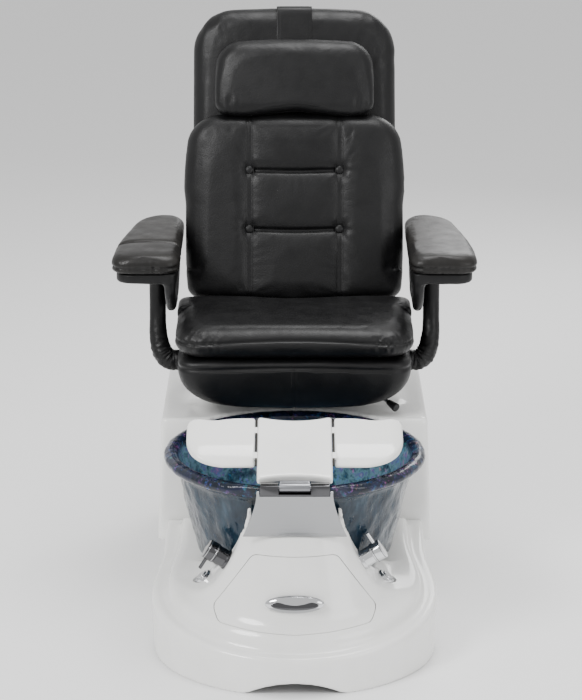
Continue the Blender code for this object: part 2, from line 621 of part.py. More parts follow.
def build_seat():
    rail_low = PEDESTAL_TOP_Z + GAP
    for side, name in ((-1, "left"), (1, "right")):
        x = side * RAIL_X
        block(f"slide_rail_{name}", (x - 0.016, 0.125, rail_low), (x + 0.016, 0.415, rail_low + 0.010), STEEL)
    pan_z = rail_low + 0.0203
    pan = block("seat_pan", (-0.225, 0.060, pan_z), (0.225, 0.375, pan_z + 0.005), STEEL)
    for x in (-RAIL_X, RAIL_X):
        join(pan, block(f"slide_runner_{x}", (x - 0.012, 0.180, rail_low + 0.0105), (x + 0.012, 0.350, pan_z + 0.002)))

    shell_low = pan_z + 0.0053
    shell = block("seat_shell", (-SHELL_HALF + 0.025, SEAT_FRONT_Y + 0.008, shell_low), (SHELL_HALF - 0.025, 0.300, 0.6050),
                  LEATHER, taper=(SHELL_HALF / (SHELL_HALF - 0.025), 1.03), round_off=0.030, segments=3)
    apron = block("apron", (-0.205, SEAT_FRONT_Y + 0.012, 0.474), (0.205, -0.012, 0.545), taper=(1.16, 1.0), round_off=0.014)
    join(shell, apron)
    cushion = block("seat_cushion", (-SEAT_HALF, SEAT_FRONT_Y, 0.6056), (SEAT_HALF, SEAT_BACK_Y, 0.688), LEATHER,
                    taper=(0.985, 0.99), round_off=0.033, segments=4)
    cushion.data.update()

    lever_foot = Vector((0.182, 0.080, 0.4993))
    tip = Vector((0.2270, 0.030, 0.4790))
    lever = rod("slide_lever", lever_foot, tip, 0.0045, STEEL, sides=14)
    join(lever, rod("lever_hub", lever_foot + Vector((0, 0, -0.006)), lever_foot + Vector((0, 0, 0.006)), 0.010, sides=20))
    along = (tip - lever_foot).normalized()
    rod("lever_knob", tip + along * GAP, tip + along * 0.034, 0.0065, PLASTIC, end_radius=0.0115, sides=20)


def build_arms():
    """Each arm: a padded top on an L-shaped body, on a sleeved tube that pivots at the seat shell."""
    shell = bpy.data.objects["seat_shell"]
    for side, name in ((-1, "left"), (1, "right")):
        def across(x_low, x_high):
            return (side * x_low, side * x_high) if side > 0 else (side * x_high, side * x_low)

        pad_low = ARM_TOP_Z - 0.046
        corners = [(ARM_INNER, ARM_FRONT_Y), (ARM_OUTER, ARM_FRONT_Y), (0.435, 0.160), (0.384, ARM_BACK_Y),
                   (ARM_INNER, ARM_BACK_Y)]
        outline = [(side * x, y) for x, y in round_corners(corners, [0.030, 0.040, 0.150, 0.060, 0.035])]
        top = extruded(f"arm_pad_{name}", outline, pad_low, ARM_TOP_Z, LEATHER)
        soften = top.modifiers.new("soften", "BEVEL")
        soften.width = 0.010
        soften.segments = 2
        soften.limit_method = "ANGLE"
        if side < 0:
            split_y = 0.150
            lid = extruded("arm_lid", outline, pad_low, ARM_TOP_Z, LEATHER)
            rear_part = block("lid_rear", (-0.5, split_y - 0.0015, 0.7), (-0.2, 0.5, 0.9))
            front_part = block("lid_front", (-0.5, -0.1, 0.7), (-0.2, split_y + 0.0015, 0.9))
            cut(lid, rear_part)
            cut(top, front_part)
            top.modifiers.move(top.modifiers.find("soften"), len(top.modifiers) - 1)
        tray = [(ARM_INNER + 0.004, ARM_FRONT_Y + 0.008), (0.425, ARM_FRONT_Y + 0.008), (0.424, 0.160), (0.392, 0.370),
                (ARM_INNER + 0.004, 0.370)]
        tray = [(side * x, y) for x, y in round_corners(tray, [0.020, 0.030, 0.120, 0.030, 0.015])]
        body = extruded(f"arm_body_{name}", tray, pad_low - 0.026, pad_low - 0.0005, LEATHER)
        x_low, x_high = across(ARM_INNER + 0.0145, 0.312)
        drop = block(f"drop_{name}", (x_low, ARM_FRONT_Y + 0.012, 0.690), (x_high, 0.330, pad_low - 0.012), round_off=0.008)
        join(body, drop)
        pivot_x = SHELL_HALF + 0.006
        cut(shell, rod(f"arm_socket_{name}", (side * 0.255, ARM_PIVOT_Y, ARM_PIVOT_Z), (side * 0.30, ARM_PIVOT_Y, ARM_PIVOT_Z),
                       0.0143, sides=24))
        bend = [(TUBE_X, 0.188, pad_low - 0.0268), (TUBE_X, 0.188, 0.730), (TUBE_X, 0.182, 0.680), (TUBE_X, 0.165, 0.625), (TUBE_X - 0.006, 0.156, 0.585),
                (TUBE_X - 0.014, 0.152, 0.566), (TUBE_X - 0.026, ARM_PIVOT_Y, ARM_PIVOT_Z),
                (pivot_x + 0.0015, ARM_PIVOT_Y, ARM_PIVOT_Z)]
        tube(f"arm_tube_{name}", [(side * x, y, z) for x, y, z in bend], TUBE_RADIUS, LEATHER, sides=3)
        rod(f"arm_pivot_{name}", (side * 0.2553, ARM_PIVOT_Y, ARM_PIVOT_Z),
            (side * (pivot_x + 0.0008), ARM_PIVOT_Y, ARM_PIVOT_Z), 0.014, STEEL, sides=24)


# ---------------------------------------------------------------- backrest

def build_back():
    """Everything here is in the backrest's own frame: Z runs up the back and -Y is its front."""
    frame = empty("back_frame", RECLINE_PIN, -BACK_LEAN)
    block("back_shell", (-BACK_HALF + 0.012, 0.0605, 0.045), (BACK_HALF - 0.012, 0.0850, BACK_TOP - 0.035), PLASTIC, frame,
          taper=(0.96, 1), round_off=0.010)
    block("back_pad", (-BACK_HALF - 0.006, -0.020, 0.050), (BACK_HALF + 0.006, 0.060, BACK_TOP), LEATHER, frame,
          taper=(0.975, 1), round_off=0.036, segments=4)
    block("back_cushion", (-CUSHION_HALF, -0.1050, CUSHION_LOW), (CUSHION_HALF, -0.0205, CUSHION_HIGH), LEATHER, frame,
          taper=(0.92, 1), round_off=0.034, segments=4)
    for row, height in enumerate(BUTTON_HEIGHTS):
        for side, name in ((-1, "left"), (1, "right")):
            turned(f"button_{('low', 'high')[row]}_{name}",
                   [(0.0, 0.0065), (0.007, 0.0052), (0.0115, 0.0015), (0.0115, 0.0), (0.0, 0.0)],
                   (0, 0, 0), LEATHER, frame, steps=18).matrix_basis = (
                Matrix.Translation((side * BUTTON_X, -0.1052, height)) @ Matrix.Rotation(radians(90), 4, "X"))
    block("headrest_pillow", (-0.199, -0.112, 0.557), (0.199, -0.0255, 0.742), LEATHER, frame, taper=(0.97, 1),
          round_off=0.036, segments=4)
    strap = [(-0.0245, 0.640), (-0.0245, BACK_TOP + 0.0045), (0.0895, BACK_TOP + 0.0045), (0.0895, 0.600),
             (0.0855, 0.600), (0.0855, BACK_TOP + 0.0005), (-0.0205, BACK_TOP + 0.0005), (-0.0205, 0.640)]
    sideways = Matrix((Vector((0, 0, 1, 0)), Vector((1, 0, 0, 0)), Vector((0, 1, 0, 0)), Vector((0, 0, 0, 1))))
    extruded("headrest_strap", strap, -0.045, 0.045, LEATHER, frame, matrix=sideways)
    block("strap_weight", (-0.060, 0.0900, 0.545), (0.060, 0.1050, 0.640), LEATHER, frame, round_off=0.005)

    build_recline(frame)


def build_recline(frame):
    """Two ears under the backrest, tied by a bar, that turn on the pins of a bracket on the seat pan."""
    pin = RECLINE_PIN
    ears = block("recline_ears", (-0.218, 0.034, 0.024), (0.218, 0.045, 0.0495), STEEL, frame)
    bracket = block("recline_bracket", (-0.212, pin.y - 0.033, 0.5109), (0.212, pin.y - 0.028, 0.540), STEEL)
    for side in (-1, 1):
        x = side * 0.215
        join(ears, block(f"ear_{side}", (x - 0.003, -0.012, -0.014), (x + 0.003, 0.0445, 0.0490), parent=frame))
        cut(ears, rod(f"ear_bore_{side}", (x - 0.02, 0, 0), (x + 0.02, 0, 0), 0.00613, parent=frame, sides=20))
        inner = x - side * 0.0075
        join(bracket, block(f"bracket_cheek_{side}", (inner - 0.003, pin.y - 0.032, 0.5115), (inner + 0.003, 0.3600, 0.5780)),
             rod(f"recline_pin_{side}", (inner, pin.y, pin.z), (x + side * 0.006, pin.y, pin.z), 0.0060, sides=20))


clear_scene()
PARTS = collection("pedicure_spa_chair")
CUTTERS = collection("cutters")
LEATHER = material("black_leatherette", (0.016, 0.016, 0.017), 0.42)
GELCOAT = material("white_gelcoat", (0.83, 0.83, 0.81), 0.20)
GLASS = material("blue_glass", (0.045, 0.085, 0.120), 0.12)
CHROME = material("chrome", (0.55, 0.55, 0.55), 0.08, 1.0)
STEEL = material("zinc_plated_steel", (0.42, 0.42, 0.43), 0.35, 1.0)
PLASTIC = material("black_plastic", (0.02, 0.02, 0.02), 0.5)

build_base()
build_bowl()
build_valves()
build_mirror_plate()
build_footrest()
build_seat()
build_arms()
build_back()
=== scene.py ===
"""The looks of a pedicure spa chair: a gelcoat base, a cast glass bowl and a black leatherette seat."""

import json
from math import ceil, cos, pi, radians, sin, sqrt

import bmesh
import bpy
import numpy as np
from mathutils import Matrix, Vector, noise
from mathutils.bvhtree import BVHTree


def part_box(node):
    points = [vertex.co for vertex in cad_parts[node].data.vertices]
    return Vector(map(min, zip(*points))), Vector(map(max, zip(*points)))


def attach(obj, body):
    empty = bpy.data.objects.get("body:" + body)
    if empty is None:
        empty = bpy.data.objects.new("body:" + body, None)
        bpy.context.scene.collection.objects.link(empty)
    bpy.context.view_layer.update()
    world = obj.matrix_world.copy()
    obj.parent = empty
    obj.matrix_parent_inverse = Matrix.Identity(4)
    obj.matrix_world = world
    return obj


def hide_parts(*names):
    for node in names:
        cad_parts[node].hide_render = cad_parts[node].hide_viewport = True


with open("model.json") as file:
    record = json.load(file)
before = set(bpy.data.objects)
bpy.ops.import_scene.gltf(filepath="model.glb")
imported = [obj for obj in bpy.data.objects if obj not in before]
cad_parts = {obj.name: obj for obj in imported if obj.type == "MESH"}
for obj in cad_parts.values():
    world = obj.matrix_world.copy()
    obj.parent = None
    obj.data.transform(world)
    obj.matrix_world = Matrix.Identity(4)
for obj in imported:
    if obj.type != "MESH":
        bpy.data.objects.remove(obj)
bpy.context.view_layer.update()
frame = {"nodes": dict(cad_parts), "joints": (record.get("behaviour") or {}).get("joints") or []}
NODES = frame["nodes"]
JOINTS = {joint["name"]: joint for joint in frame["joints"]}
SCENE = bpy.context.scene

# ---------------------------------------------------------------- sizes, in metres

WALL = 0.010                 # laminate of the moulded base
BASE_STEP = 0.005            # grid of the moulded surfaces
PAD_STEP = 0.0065            # grid of the padded surfaces
CLOTH_FRAMES = 9             # steps of each cushion's cloth simulation

BOWL_LOW, BOWL_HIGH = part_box("bowl")
BOWL_Y = (BOWL_LOW.y + BOWL_HIGH.y) / 2
BOWL_RIM_RADIUS = (BOWL_HIGH.x - BOWL_LOW.x) / 2 + 0.0065
BOWL_FOOT_Z, BOWL_RIM_Z = BOWL_LOW.z, BOWL_HIGH.z
BOWL_FOOT_RADIUS, BOWL_NECK_RADIUS, BOWL_NECK_Z = 0.226, 0.278, 0.425
BOWL_WALL = 0.009
ROLL_HALF_WIDTH, ROLL_HALF_HEIGHT = 0.0175, 0.0145
BOWL_GAP = 0.006
DRAIN_RADIUS = 0.026
JET_HOLE_RADIUS, JET_Z = 0.040, 0.315

BASE_LOW, BASE_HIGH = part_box("base_front")
FRONT_Y, BASE_BACK_Y = BASE_LOW.y, BASE_HIGH.y
PLINTH_HALF, PLINTH_WIDEST_Y = 0.333, -0.345
WAIST_HALF, WAIST_Y = 0.312, -0.150
RIM_FRONT_Z, RIM_SLOPE = 0.085, 0.175
TERRACE_INSET, TERRACE_RISE = 0.038, 0.030
SKIRT_DRAFT = 0.007

HILL_Y, HILL_TOP_Z, HILL_TOP_RADIUS, HILL_FLARE = -0.325, 0.330, 0.1973, 0.374
FIN_TOP_Z, FIN_THICK = BASE_HIGH.z, 0.007
SIDE_WALL = np.array([  # (half width, height) down the console's side, which flares like a skirt
    (0.105, 0.394), (0.109, 0.366), (0.115, 0.340), (0.124, 0.312), (0.134, 0.288), (0.147, 0.262),
    (0.161, 0.237), (0.183, 0.205), (0.210, 0.180), (0.238, 0.164), (0.265, 0.155)])
WINDOW_HALF, LEDGE_HALF = 0.098, 0.108

CABINET_LOW, CABINET_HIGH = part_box("rear_cabinet")
CABINET_TOP_Z, KICK_Z, KICK_HALF = 0.4505, 0.136, 0.312

BACK = (Matrix.Translation(Vector(JOINTS["backrest_recline"]["pos_m"]))
        @ Matrix.Rotation(radians(-15), 4, "X"))
FOOTREST = (Matrix.Translation(Vector(JOINTS["footrest_lift"]["pos_m"]))
            @ Matrix.Rotation(radians(20.9), 4, "X"))

CHANNEL_X = 0.113            # sewn channels of the back cushion
BUTTON_HEIGHTS = (0.266, 0.414)


def local_box(node, place):
    """(lowest corner, highest corner) of a CAD node in a frame of its own."""
    inverse = place.inverted()
    points = np.array([inverse @ v.co for v in NODES[node].data.vertices])
    return Vector(points.min(0)), Vector(points.max(0))


# ---------------------------------------------------------------- materials

def tint(code):
    """An sRGB hex colour as linear RGBA."""
    values = [int(code[i:i + 2], 16) / 255 for i in (1, 3, 5)]
    return (*[v / 12.92 if v <= 0.04045 else ((v + 0.055) / 1.055) ** 2.4 for v in values], 1)


def add(tree, kind, settings=None, links=None):
    """A node with its settings, by attribute or by socket, and the outputs that feed its sockets."""
    made = tree.nodes.new(kind)
    for key, value in (settings or {}).items():
        if isinstance(key, str) and hasattr(made, key):
            setattr(made, key, value)
        else:
            made.inputs[key].default_value = value
    for key, output in (links or {}).items():
        tree.links.new(output, made.inputs[key])
    return made


def start(name, colour, roughness, metallic=0.0, **settings):
    """A material with one Principled shader, and that shader."""
    made = bpy.data.materials.new(name)
    made.use_nodes = True
    shader = made.node_tree.nodes["Principled BSDF"]
    shader.inputs["Base Color"].default_value = tint(colour)
    shader.inputs["Roughness"].default_value = roughness
    shader.inputs["Metallic"].default_value = metallic
    for socket, value in settings.items():
        shader.inputs[socket.replace("_", " ")].default_value = value
    return made, made.node_tree, shader


def ramp(tree, source, stops):
    made = add(tree, "ShaderNodeValToRGB", links={"Fac": source})
    elements = made.color_ramp.elements
    while len(elements) < len(stops):
        elements.new(0.5)
    for element, (position, code) in zip(elements, stops):
        element.position = position
        element.color = tint(code)
    return made.outputs["Color"]


def grain(tree, scale, detail=3.0, roughness=0.55, squash=None):
    """Noise on object coordinates. scale is in waves per metre."""
    place = add(tree, "ShaderNodeTexCoord").outputs["Object"]
    if squash:
        place = add(tree, "ShaderNodeMapping", {"Scale": squash}, {"Vector": place}).outputs["Vector"]
    return add(tree, "ShaderNodeTexNoise", {"Scale": scale, "Detail": detail, "Roughness": roughness},
               {"Vector": place}).outputs["Fac"]


def bump(tree, shader, layers):
    """Stacks (height output, depth in metres) layers into the shader's normal."""
    normal = None
    for height, depth in layers:
        links = {"Height": height}
        if normal:
            links["Normal"] = normal
        normal = add(tree, "ShaderNodeBump", {"Strength": 1.0, "Distance": depth}, links).outputs["Normal"]
    tree.links.new(normal, shader.inputs["Normal"])


def spread(tree, source, low, high):
    """Maps 0.3 to 0.7 of a noise onto low to high."""
    return add(tree, "ShaderNodeMapRange", {"From Min": 0.3, "From Max": 0.7, "To Min": low, "To Max": high},
               {"Value": source}).outputs["Result"]


def leatherette(name, dark, light, gloss=0.42):
    """PVC leatherette, embossed with a pebble grain: pebbles of 2.5 mm, soft folds, and a satin topcoat."""
    made, tree, shader = start(name, dark, gloss, Specular_IOR_Level=0.30)
    place = add(tree, "ShaderNodeTexCoord").outputs["Object"]
    pebbles = add(tree, "ShaderNodeTexVoronoi",
                  {"Scale": 400.0, "feature": "SMOOTH_F1", "Smoothness": 0.6, "Randomness": 0.9},
                  {"Vector": place}).outputs["Distance"]
    folds = grain(tree, 26.0, 4.0)
    wear = grain(tree, 7.0, 2.0)
    tree.links.new(ramp(tree, wear, [(0.32, dark), (0.68, light)]), shader.inputs["Base Color"])
    tree.links.new(spread(tree, folds, gloss - 0.06, gloss + 0.08), shader.inputs["Roughness"])
    bump(tree, shader, [(pebbles, 0.00022), (folds, 0.0009)])
    return made


def gelcoat(name):
    """Polyester gelcoat out of a waxed mould: hard white gloss with a faint orange peel."""
    made, tree, shader = start(name, "#f3f3f1", 0.14, Specular_IOR_Level=0.5, Coat_Weight=0.3,
                               Coat_Roughness=0.05)
    peel = grain(tree, 160.0, 2.0)
    waves = grain(tree, 9.0, 2.0)
    tree.links.new(ramp(tree, waves, [(0.30, "#f0f0ed"), (0.70, "#f6f6f4")]), shader.inputs["Base Color"])
    tree.links.new(spread(tree, peel, 0.12, 0.18), shader.inputs["Roughness"])
    bump(tree, shader, [(peel, 0.00004), (waves, 0.0008)])
    return made


def cast_glass(name):
    """Slumped art glass with a lustre: slate outside, a navy rim, and iridescent flecks painted in as painted
    sheen, most inside.
    The attribute "side" is 0 outside, 0.5 on the rim and 1 inside."""
    made, tree, shader = start(name, "#1f303f", 0.13, Specular_IOR_Level=0.34, Coat_Weight=0.10,
                               Coat_Roughness=0.04)
    side = add(tree, "ShaderNodeAttribute", {"attribute_name": "side"}).outputs["Fac"]
    drawn = grain(tree, 26.0, 4.0, 0.6, squash=(1.0, 1.0, 0.35))
    clouds = grain(tree, 30.0, 3.0, 0.7)
    flecks = grain(tree, 75.0, 3.0, 0.7)
    outside = ramp(tree, drawn, [(0.28, "#0b151f"), (0.45, "#152431"), (0.60, "#213441"), (0.76, "#3d5160")])
    rim = ramp(tree, clouds, [(0.32, "#080e18"), (0.48, "#101b2b"), (0.60, "#1d1f3a"), (0.72, "#235060")])
    inside = ramp(tree, clouds, [(0.30, "#1c2e3f"), (0.42, "#35505f"), (0.52, "#5f8590"), (0.62, "#565a8c"),
                                 (0.72, "#9a6f98")])
    to_rim = add(tree, "ShaderNodeMapRange", {"From Min": 0.1, "From Max": 0.4},
                 {"Value": side}).outputs["Result"]
    to_inside = add(tree, "ShaderNodeMapRange", {"From Min": 0.6, "From Max": 0.9},
                    {"Value": side}).outputs["Result"]
    body = add(tree, "ShaderNodeMix", {"data_type": "RGBA"}, {0: to_rim, 6: outside, 7: rim}).outputs[2]
    body = add(tree, "ShaderNodeMix", {"data_type": "RGBA"}, {0: to_inside, 6: body, 7: inside}).outputs[2]
    # painted sheen: the lustre's iridescent reflection colours, painted into the base colour as fixed flecks
    painted_sheen = ramp(tree, drawn, [(0.36, "#2aa9a0"), (0.48, "#3f6fd0"), (0.58, "#c45fb0"), (0.70, "#e0a070")])
    # how much painted sheen shows: little outside, most inside
    low = add(tree, "ShaderNodeMapRange", {"From Min": 0.0, "From Max": 1.0, "To Min": 0.02, "To Max": 0.55},
              {"Value": side})
    share = add(tree, "ShaderNodeMapRange", {"From Min": 0.56, "From Max": 0.68},
                {"Value": flecks, "To Max": low.outputs["Result"]})
    mixed = add(tree, "ShaderNodeMix", {"data_type": "RGBA"},
                {0: share.outputs["Result"], 6: body, 7: painted_sheen}).outputs[2]
    tree.links.new(mixed, shader.inputs["Base Color"])
    bump(tree, shader, [(drawn, 0.0030), (flecks, 0.0010)])
    return made


def polished(name, colour, roughness, brush=None):
    """Plated or polished metal. brush stretches its scratches along one axis."""
    made, tree, shader = start(name, colour, roughness, 1.0)
    marks = grain(tree, 90.0, 3.0, squash=brush or (1, 1, 1))
    tree.links.new(spread(tree, marks, max(roughness - 0.03, 0.02), roughness + 0.05),
                   shader.inputs["Roughness"])
    bump(tree, shader, [(marks, 0.00002 if brush is None else 0.00004)])
    return made


def moulded_plastic(name, colour, roughness):
    """Injection-moulded plastic with a spark-eroded texture."""
    made, tree, shader = start(name, colour, roughness)
    texture = grain(tree, 700.0, 2.0)
    tree.links.new(spread(tree, texture, roughness - 0.05, roughness + 0.08), shader.inputs["Roughness"])
    bump(tree, shader, [(texture, 0.00008)])
    return made


LEATHER = leatherette("black_leatherette", "#070708", "#0e0e0f")
# A lighter, browner copy of the black leatherette for the arm tops: partly dust, partly painted sheen where
# the tops face the lights.
ARM_LEATHER_DUST_AND_SHEEN = leatherette("armrest_leatherette_dust_and_sheen", "#141312", "#1f1d1b", gloss=0.38)
THREAD = moulded_plastic("black_polyester_thread", "#0b0b0b", 0.7)
GELCOAT = gelcoat("white_gelcoat")
GLASS = cast_glass("lustre_art_glass")
CHROME = polished("chrome_plate", "#d8d9db", 0.06)
DARK_CHROME = polished("black_chrome_plate", "#5a5a5c", 0.10)
MIRROR = polished("stainless_mirror_sheet", "#a2a3a5", 0.22, brush=(0.05, 1, 1))
ZINC = polished("zinc_plated_steel", "#8f9094", 0.34)
PLASTIC = moulded_plastic("black_abs", "#1a1a1b", 0.42)
PIPE = moulded_plastic("grey_pvc", "#8b8d90", 0.35)
DARK_STEEL = polished("blackened_steel", "#3a3733", 0.35)


# ---------------------------------------------------------------- making meshes

def piece(name, mesh, body, finish, stands_for=(), smooth=True):
    """A finished piece at the origin that rides on a body and stands for CAD nodes."""
    made = bpy.data.objects.new(name, mesh)
    SCENE.collection.objects.link(made)
    mesh.materials.clear()
    mesh.materials.append(finish)
    if smooth:
        mesh.shade_smooth()
    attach(made, body)
    if stands_for:
        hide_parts(*stands_for)
    return made


def soft_min(a, b, blend):
    overlap = np.maximum(blend - np.abs(a - b), 0) / blend
    return np.minimum(a, b) - overlap * overlap * blend / 4


def soft_max(a, b, blend):
    return -soft_min(-a, -b, blend)


def slab(outline, thickness, edge):
    """Distance to a slab with round edges, from the distance to its outline and the distance to its faces."""
    a, b = outline + edge, thickness + edge
    return np.hypot(np.maximum(a, 0), np.maximum(b, 0)) + np.minimum(np.maximum(a, b), 0) - edge


def panel_outline(x, z, half_x, half_z, top, bottom):
    """Distance to an upright rectangle whose upper and lower corners have different radii."""
    radius = np.where(z > 0, top, bottom)
    a, b = np.abs(x) - half_x + radius, np.abs(z) - half_z + radius
    return np.hypot(np.maximum(a, 0), np.maximum(b, 0)) + np.minimum(np.maximum(a, b), 0) - radius


def mould(field, low, high, step):
    """The closed surface where field(x, y, z) is zero, with one point in each grid cell that it crosses."""
    axes = [np.arange(a - 2.5 * step, b + 3 * step, step) for a, b in zip(low, high)]
    grid = np.meshgrid(*axes, indexing="ij")
    value = field(*grid)
    inside = value < 0
    shape = [n - 1 for n in value.shape]
    corners = [(i, j, k) for i in (0, 1) for j in (0, 1) for k in (0, 1)]

    def at(array, corner):
        return array[tuple(slice(c, c + n) for c, n in zip(corner, shape))]

    count = sum(at(inside, corner).astype(np.int8) for corner in corners)
    crossed = (count > 0) & (count < 8)
    index = np.full(shape, -1)
    index[crossed] = np.arange(crossed.sum())
    total, hits = np.zeros((crossed.sum(), 3)), np.zeros(crossed.sum())
    for corner in corners:
        for axis in range(3):
            if corner[axis]:
                continue
            far = tuple(c + (i == axis) for i, c in enumerate(corner))
            near_value, far_value = at(value, corner)[crossed], at(value, far)[crossed]
            hit = (near_value < 0) != (far_value < 0)
            point = np.stack([at(g, corner)[crossed] for g in grid], 1)
            point[:, axis] += np.where(hit, near_value / np.where(hit, near_value - far_value, 1), 0) * step
            total[hit] += point[hit]
            hits += hit
    points = total / hits[:, None]
    for _ in range(3):
        distance = field(*points.T)
        slope = np.stack([(field(*(points + u).T) - field(*(points - u).T)) / (0.4 * step)
                          for u in np.eye(3) * 0.2 * step], 1)
        move = distance[:, None] * slope / np.maximum((slope ** 2).sum(1), 0.2)[:, None]
        reach = np.linalg.norm(move, axis=1)
        points -= move * np.minimum(1, 0.5 * step / np.maximum(reach, 1e-9))[:, None]

    quads = []
    for axis in range(3):
        side, cell = np.moveaxis(inside, axis, 0), np.moveaxis(index, axis, 0)
        before, after = side[:-1, 1:-1, 1:-1], side[1:, 1:-1, 1:-1]
        i, j, k = np.nonzero(before != after)
        quad = np.stack([cell[i, j, k], cell[i, j + 1, k], cell[i, j + 1, k + 1], cell[i, j, k + 1]], 1)
        turned = before[i, j, k] if axis == 1 else after[i, j, k]
        quad[turned] = quad[turned][:, ::-1]
        quads.append(quad)
    mesh = bpy.data.meshes.new("moulded")
    mesh.from_pydata(points.tolist(), [], np.concatenate(quads).tolist())
    mesh.update()
    return mesh


def coordinates(mesh):
    flat = np.empty(len(mesh.vertices) * 3)
    mesh.vertices.foreach_get("co", flat)
    return flat.reshape(-1, 3)


def set_coordinates(mesh, points):
    mesh.vertices.foreach_set("co", np.ascontiguousarray(points).ravel())
    mesh.update()


def normals(mesh):
    flat = np.empty(len(mesh.vertices) * 3)
    mesh.vertex_normals.foreach_get("vector", flat)
    return flat.reshape(-1, 3)


def baked(mesh, *modifiers):
    """A copy of a mesh after modifiers, each given as (type, settings)."""
    holder = bpy.data.objects.new("holder", mesh)
    SCENE.collection.objects.link(holder)
    for kind, settings in modifiers:
        modifier = holder.modifiers.new(kind.lower(), kind)
        for key, value in settings.items():
            setattr(modifier, key, value)
    made = bpy.data.meshes.new_from_object(holder.evaluated_get(bpy.context.evaluated_depsgraph_get()))
    bpy.data.objects.remove(holder)
    return made


def finer(mesh, levels=1):
    return baked(mesh, ("SUBSURF", {"levels": levels, "render_levels": levels}))


def boolean(mesh, operation, *tools):
    """mesh with closed tool meshes cut out of it or kept in common with it."""
    holders = []
    for tool in tools:
        holder = bpy.data.objects.new("tool", tool)
        SCENE.collection.objects.link(holder)
        holders.append(holder)
    made = baked(mesh, *[("BOOLEAN", {"operation": operation, "solver": "EXACT", "object": holder})
                         for holder in holders])
    for holder in holders:
        bpy.data.objects.remove(holder)
    return made


def from_bmesh(shape):
    mesh = bpy.data.meshes.new("built")
    shape.to_mesh(mesh)
    shape.free()
    return mesh


def joined(*meshes):
    shape = bmesh.new()
    for mesh in meshes:
        shape.from_mesh(mesh)
    return from_bmesh(shape)


def cylinder(start, end, radius, end_radius=None, sides=48):
    start, end = Vector(start), Vector(end)
    turn = (end - start).to_track_quat("Z", "Y").to_matrix().to_4x4()
    shape = bmesh.new()
    bmesh.ops.create_cone(shape, cap_ends=True, segments=sides, radius1=radius,
                          radius2=radius if end_radius is None else end_radius, depth=(end - start).length,
                          matrix=Matrix.Translation((start + end) / 2) @ turn)
    return from_bmesh(shape)


def cuboid(low, high):
    low, high = Vector(low), Vector(high)
    shape = bmesh.new()
    bmesh.ops.create_cube(shape, size=1, matrix=Matrix.Translation((low + high) / 2)
                          @ Matrix.Diagonal((*(high - low), 1)))
    return from_bmesh(shape)


def loft(rings, closed_along=False, caps=True):
    """A skin over rings of equal counts of points. Each ring is closed."""
    shape = bmesh.new()
    rows = [[shape.verts.new(point) for point in ring] for ring in rings]
    count = len(rows[0])
    pairs = list(zip(rows, rows[1:])) + ([(rows[-1], rows[0])] if closed_along else [])
    for lower, upper in pairs:
        for i in range(count):
            shape.faces.new((lower[i], lower[(i + 1) % count], upper[(i + 1) % count], upper[i]))
    if caps and not closed_along:
        shape.faces.new(list(reversed(rows[0])))
        shape.faces.new(rows[-1])
    bmesh.ops.recalc_face_normals(shape, faces=shape.faces)
    return from_bmesh(shape)


def turned(profile, place=Matrix.Identity(4), sides=48):
    """A closed (radius, height) profile spun about Z. Points on the axis close it."""
    shape = bmesh.new()
    verts = [shape.verts.new((radius, 0, height)) for radius, height in profile]
    edges = [shape.edges.new((a, b)) for a, b in zip(verts, verts[1:])]
    if profile[0][0] > 0:
        edges.append(shape.edges.new((verts[-1], verts[0])))
    bmesh.ops.spin(shape, geom=verts + edges, cent=(0, 0, 0), axis=(0, 0, 1), angle=2 * pi, steps=sides)
    bmesh.ops.remove_doubles(shape, verts=shape.verts, dist=0.00001)
    bmesh.ops.recalc_face_normals(shape, faces=shape.faces)
    bmesh.ops.transform(shape, matrix=place, verts=shape.verts)
    return from_bmesh(shape)


def pipe(points, radius, sides=10, closed=False):
    """A round bar along points. radius is a number or a function of (share of the length, angle)."""
    points = [Vector(point) for point in points]
    count = len(points)
    rings, side = [], None
    for i, point in enumerate(points):
        ahead = points[(i + 1) % count] if closed or i < count - 1 else points[i]
        behind = points[i - 1] if closed or i else points[i]
        along = (ahead - behind).normalized()
        if side is None:
            side = along.orthogonal()
        side = (side - along * side.dot(along)).normalized()
        other = along.cross(side)
        ring = []
        for j in range(sides):
            angle = 2 * pi * j / sides
            reach = radius(i / (count - 1), angle) if callable(radius) else radius
            ring.append(point + (side * cos(angle) + other * sin(angle)) * reach)
        rings.append(ring)
    return loft(rings, closed_along=closed)


def smooth_path(points, count, closed=False):
    """A Catmull-Rom line through points, as count places evenly spaced by parameter."""
    points = [Vector(point) for point in points]
    ends = len(points) if closed else len(points) - 1
    made = []
    for i in range(count):
        at = ends * i / (count if closed else count - 1)
        k = min(int(at), ends - 1)
        t = at - k
        picks = [points[(k + o) % len(points)] if closed else points[min(max(k + o, 0), len(points) - 1)]
                 for o in (-1, 0, 1, 2)]
        a, b, c, d = picks
        made.append(0.5 * (2 * b + (c - a) * t + (2 * a - 5 * b + 4 * c - d) * t * t
                           + (3 * b - a - 3 * c + d) * t ** 3))
    return made


def softened(node, width, body, finish, segments=3, angle=30):
    """A CAD node's own shape with its edges rounded."""
    shape = bmesh.new()
    shape.from_mesh(NODES[node].data)
    bmesh.ops.remove_doubles(shape, verts=shape.verts, dist=0.00002)
    bmesh.ops.dissolve_limit(shape, angle_limit=radians(1), verts=shape.verts, edges=shape.edges)
    mesh = baked(from_bmesh(shape), ("BEVEL", {"width": width, "segments": segments, "limit_method": "ANGLE",
                                               "angle_limit": radians(angle), "harden_normals": False}))
    made = piece(f"{node}_piece", mesh, body, finish, (node,))
    mesh.set_sharp_from_angle(angle=radians(40))
    return made


# ---------------------------------------------------------------- base

def bowl_radius(z):
    share = (z - BOWL_FOOT_Z) / (BOWL_NECK_Z - BOWL_FOOT_Z)
    return BOWL_FOOT_RADIUS + (BOWL_NECK_RADIUS - BOWL_FOOT_RADIUS) * share


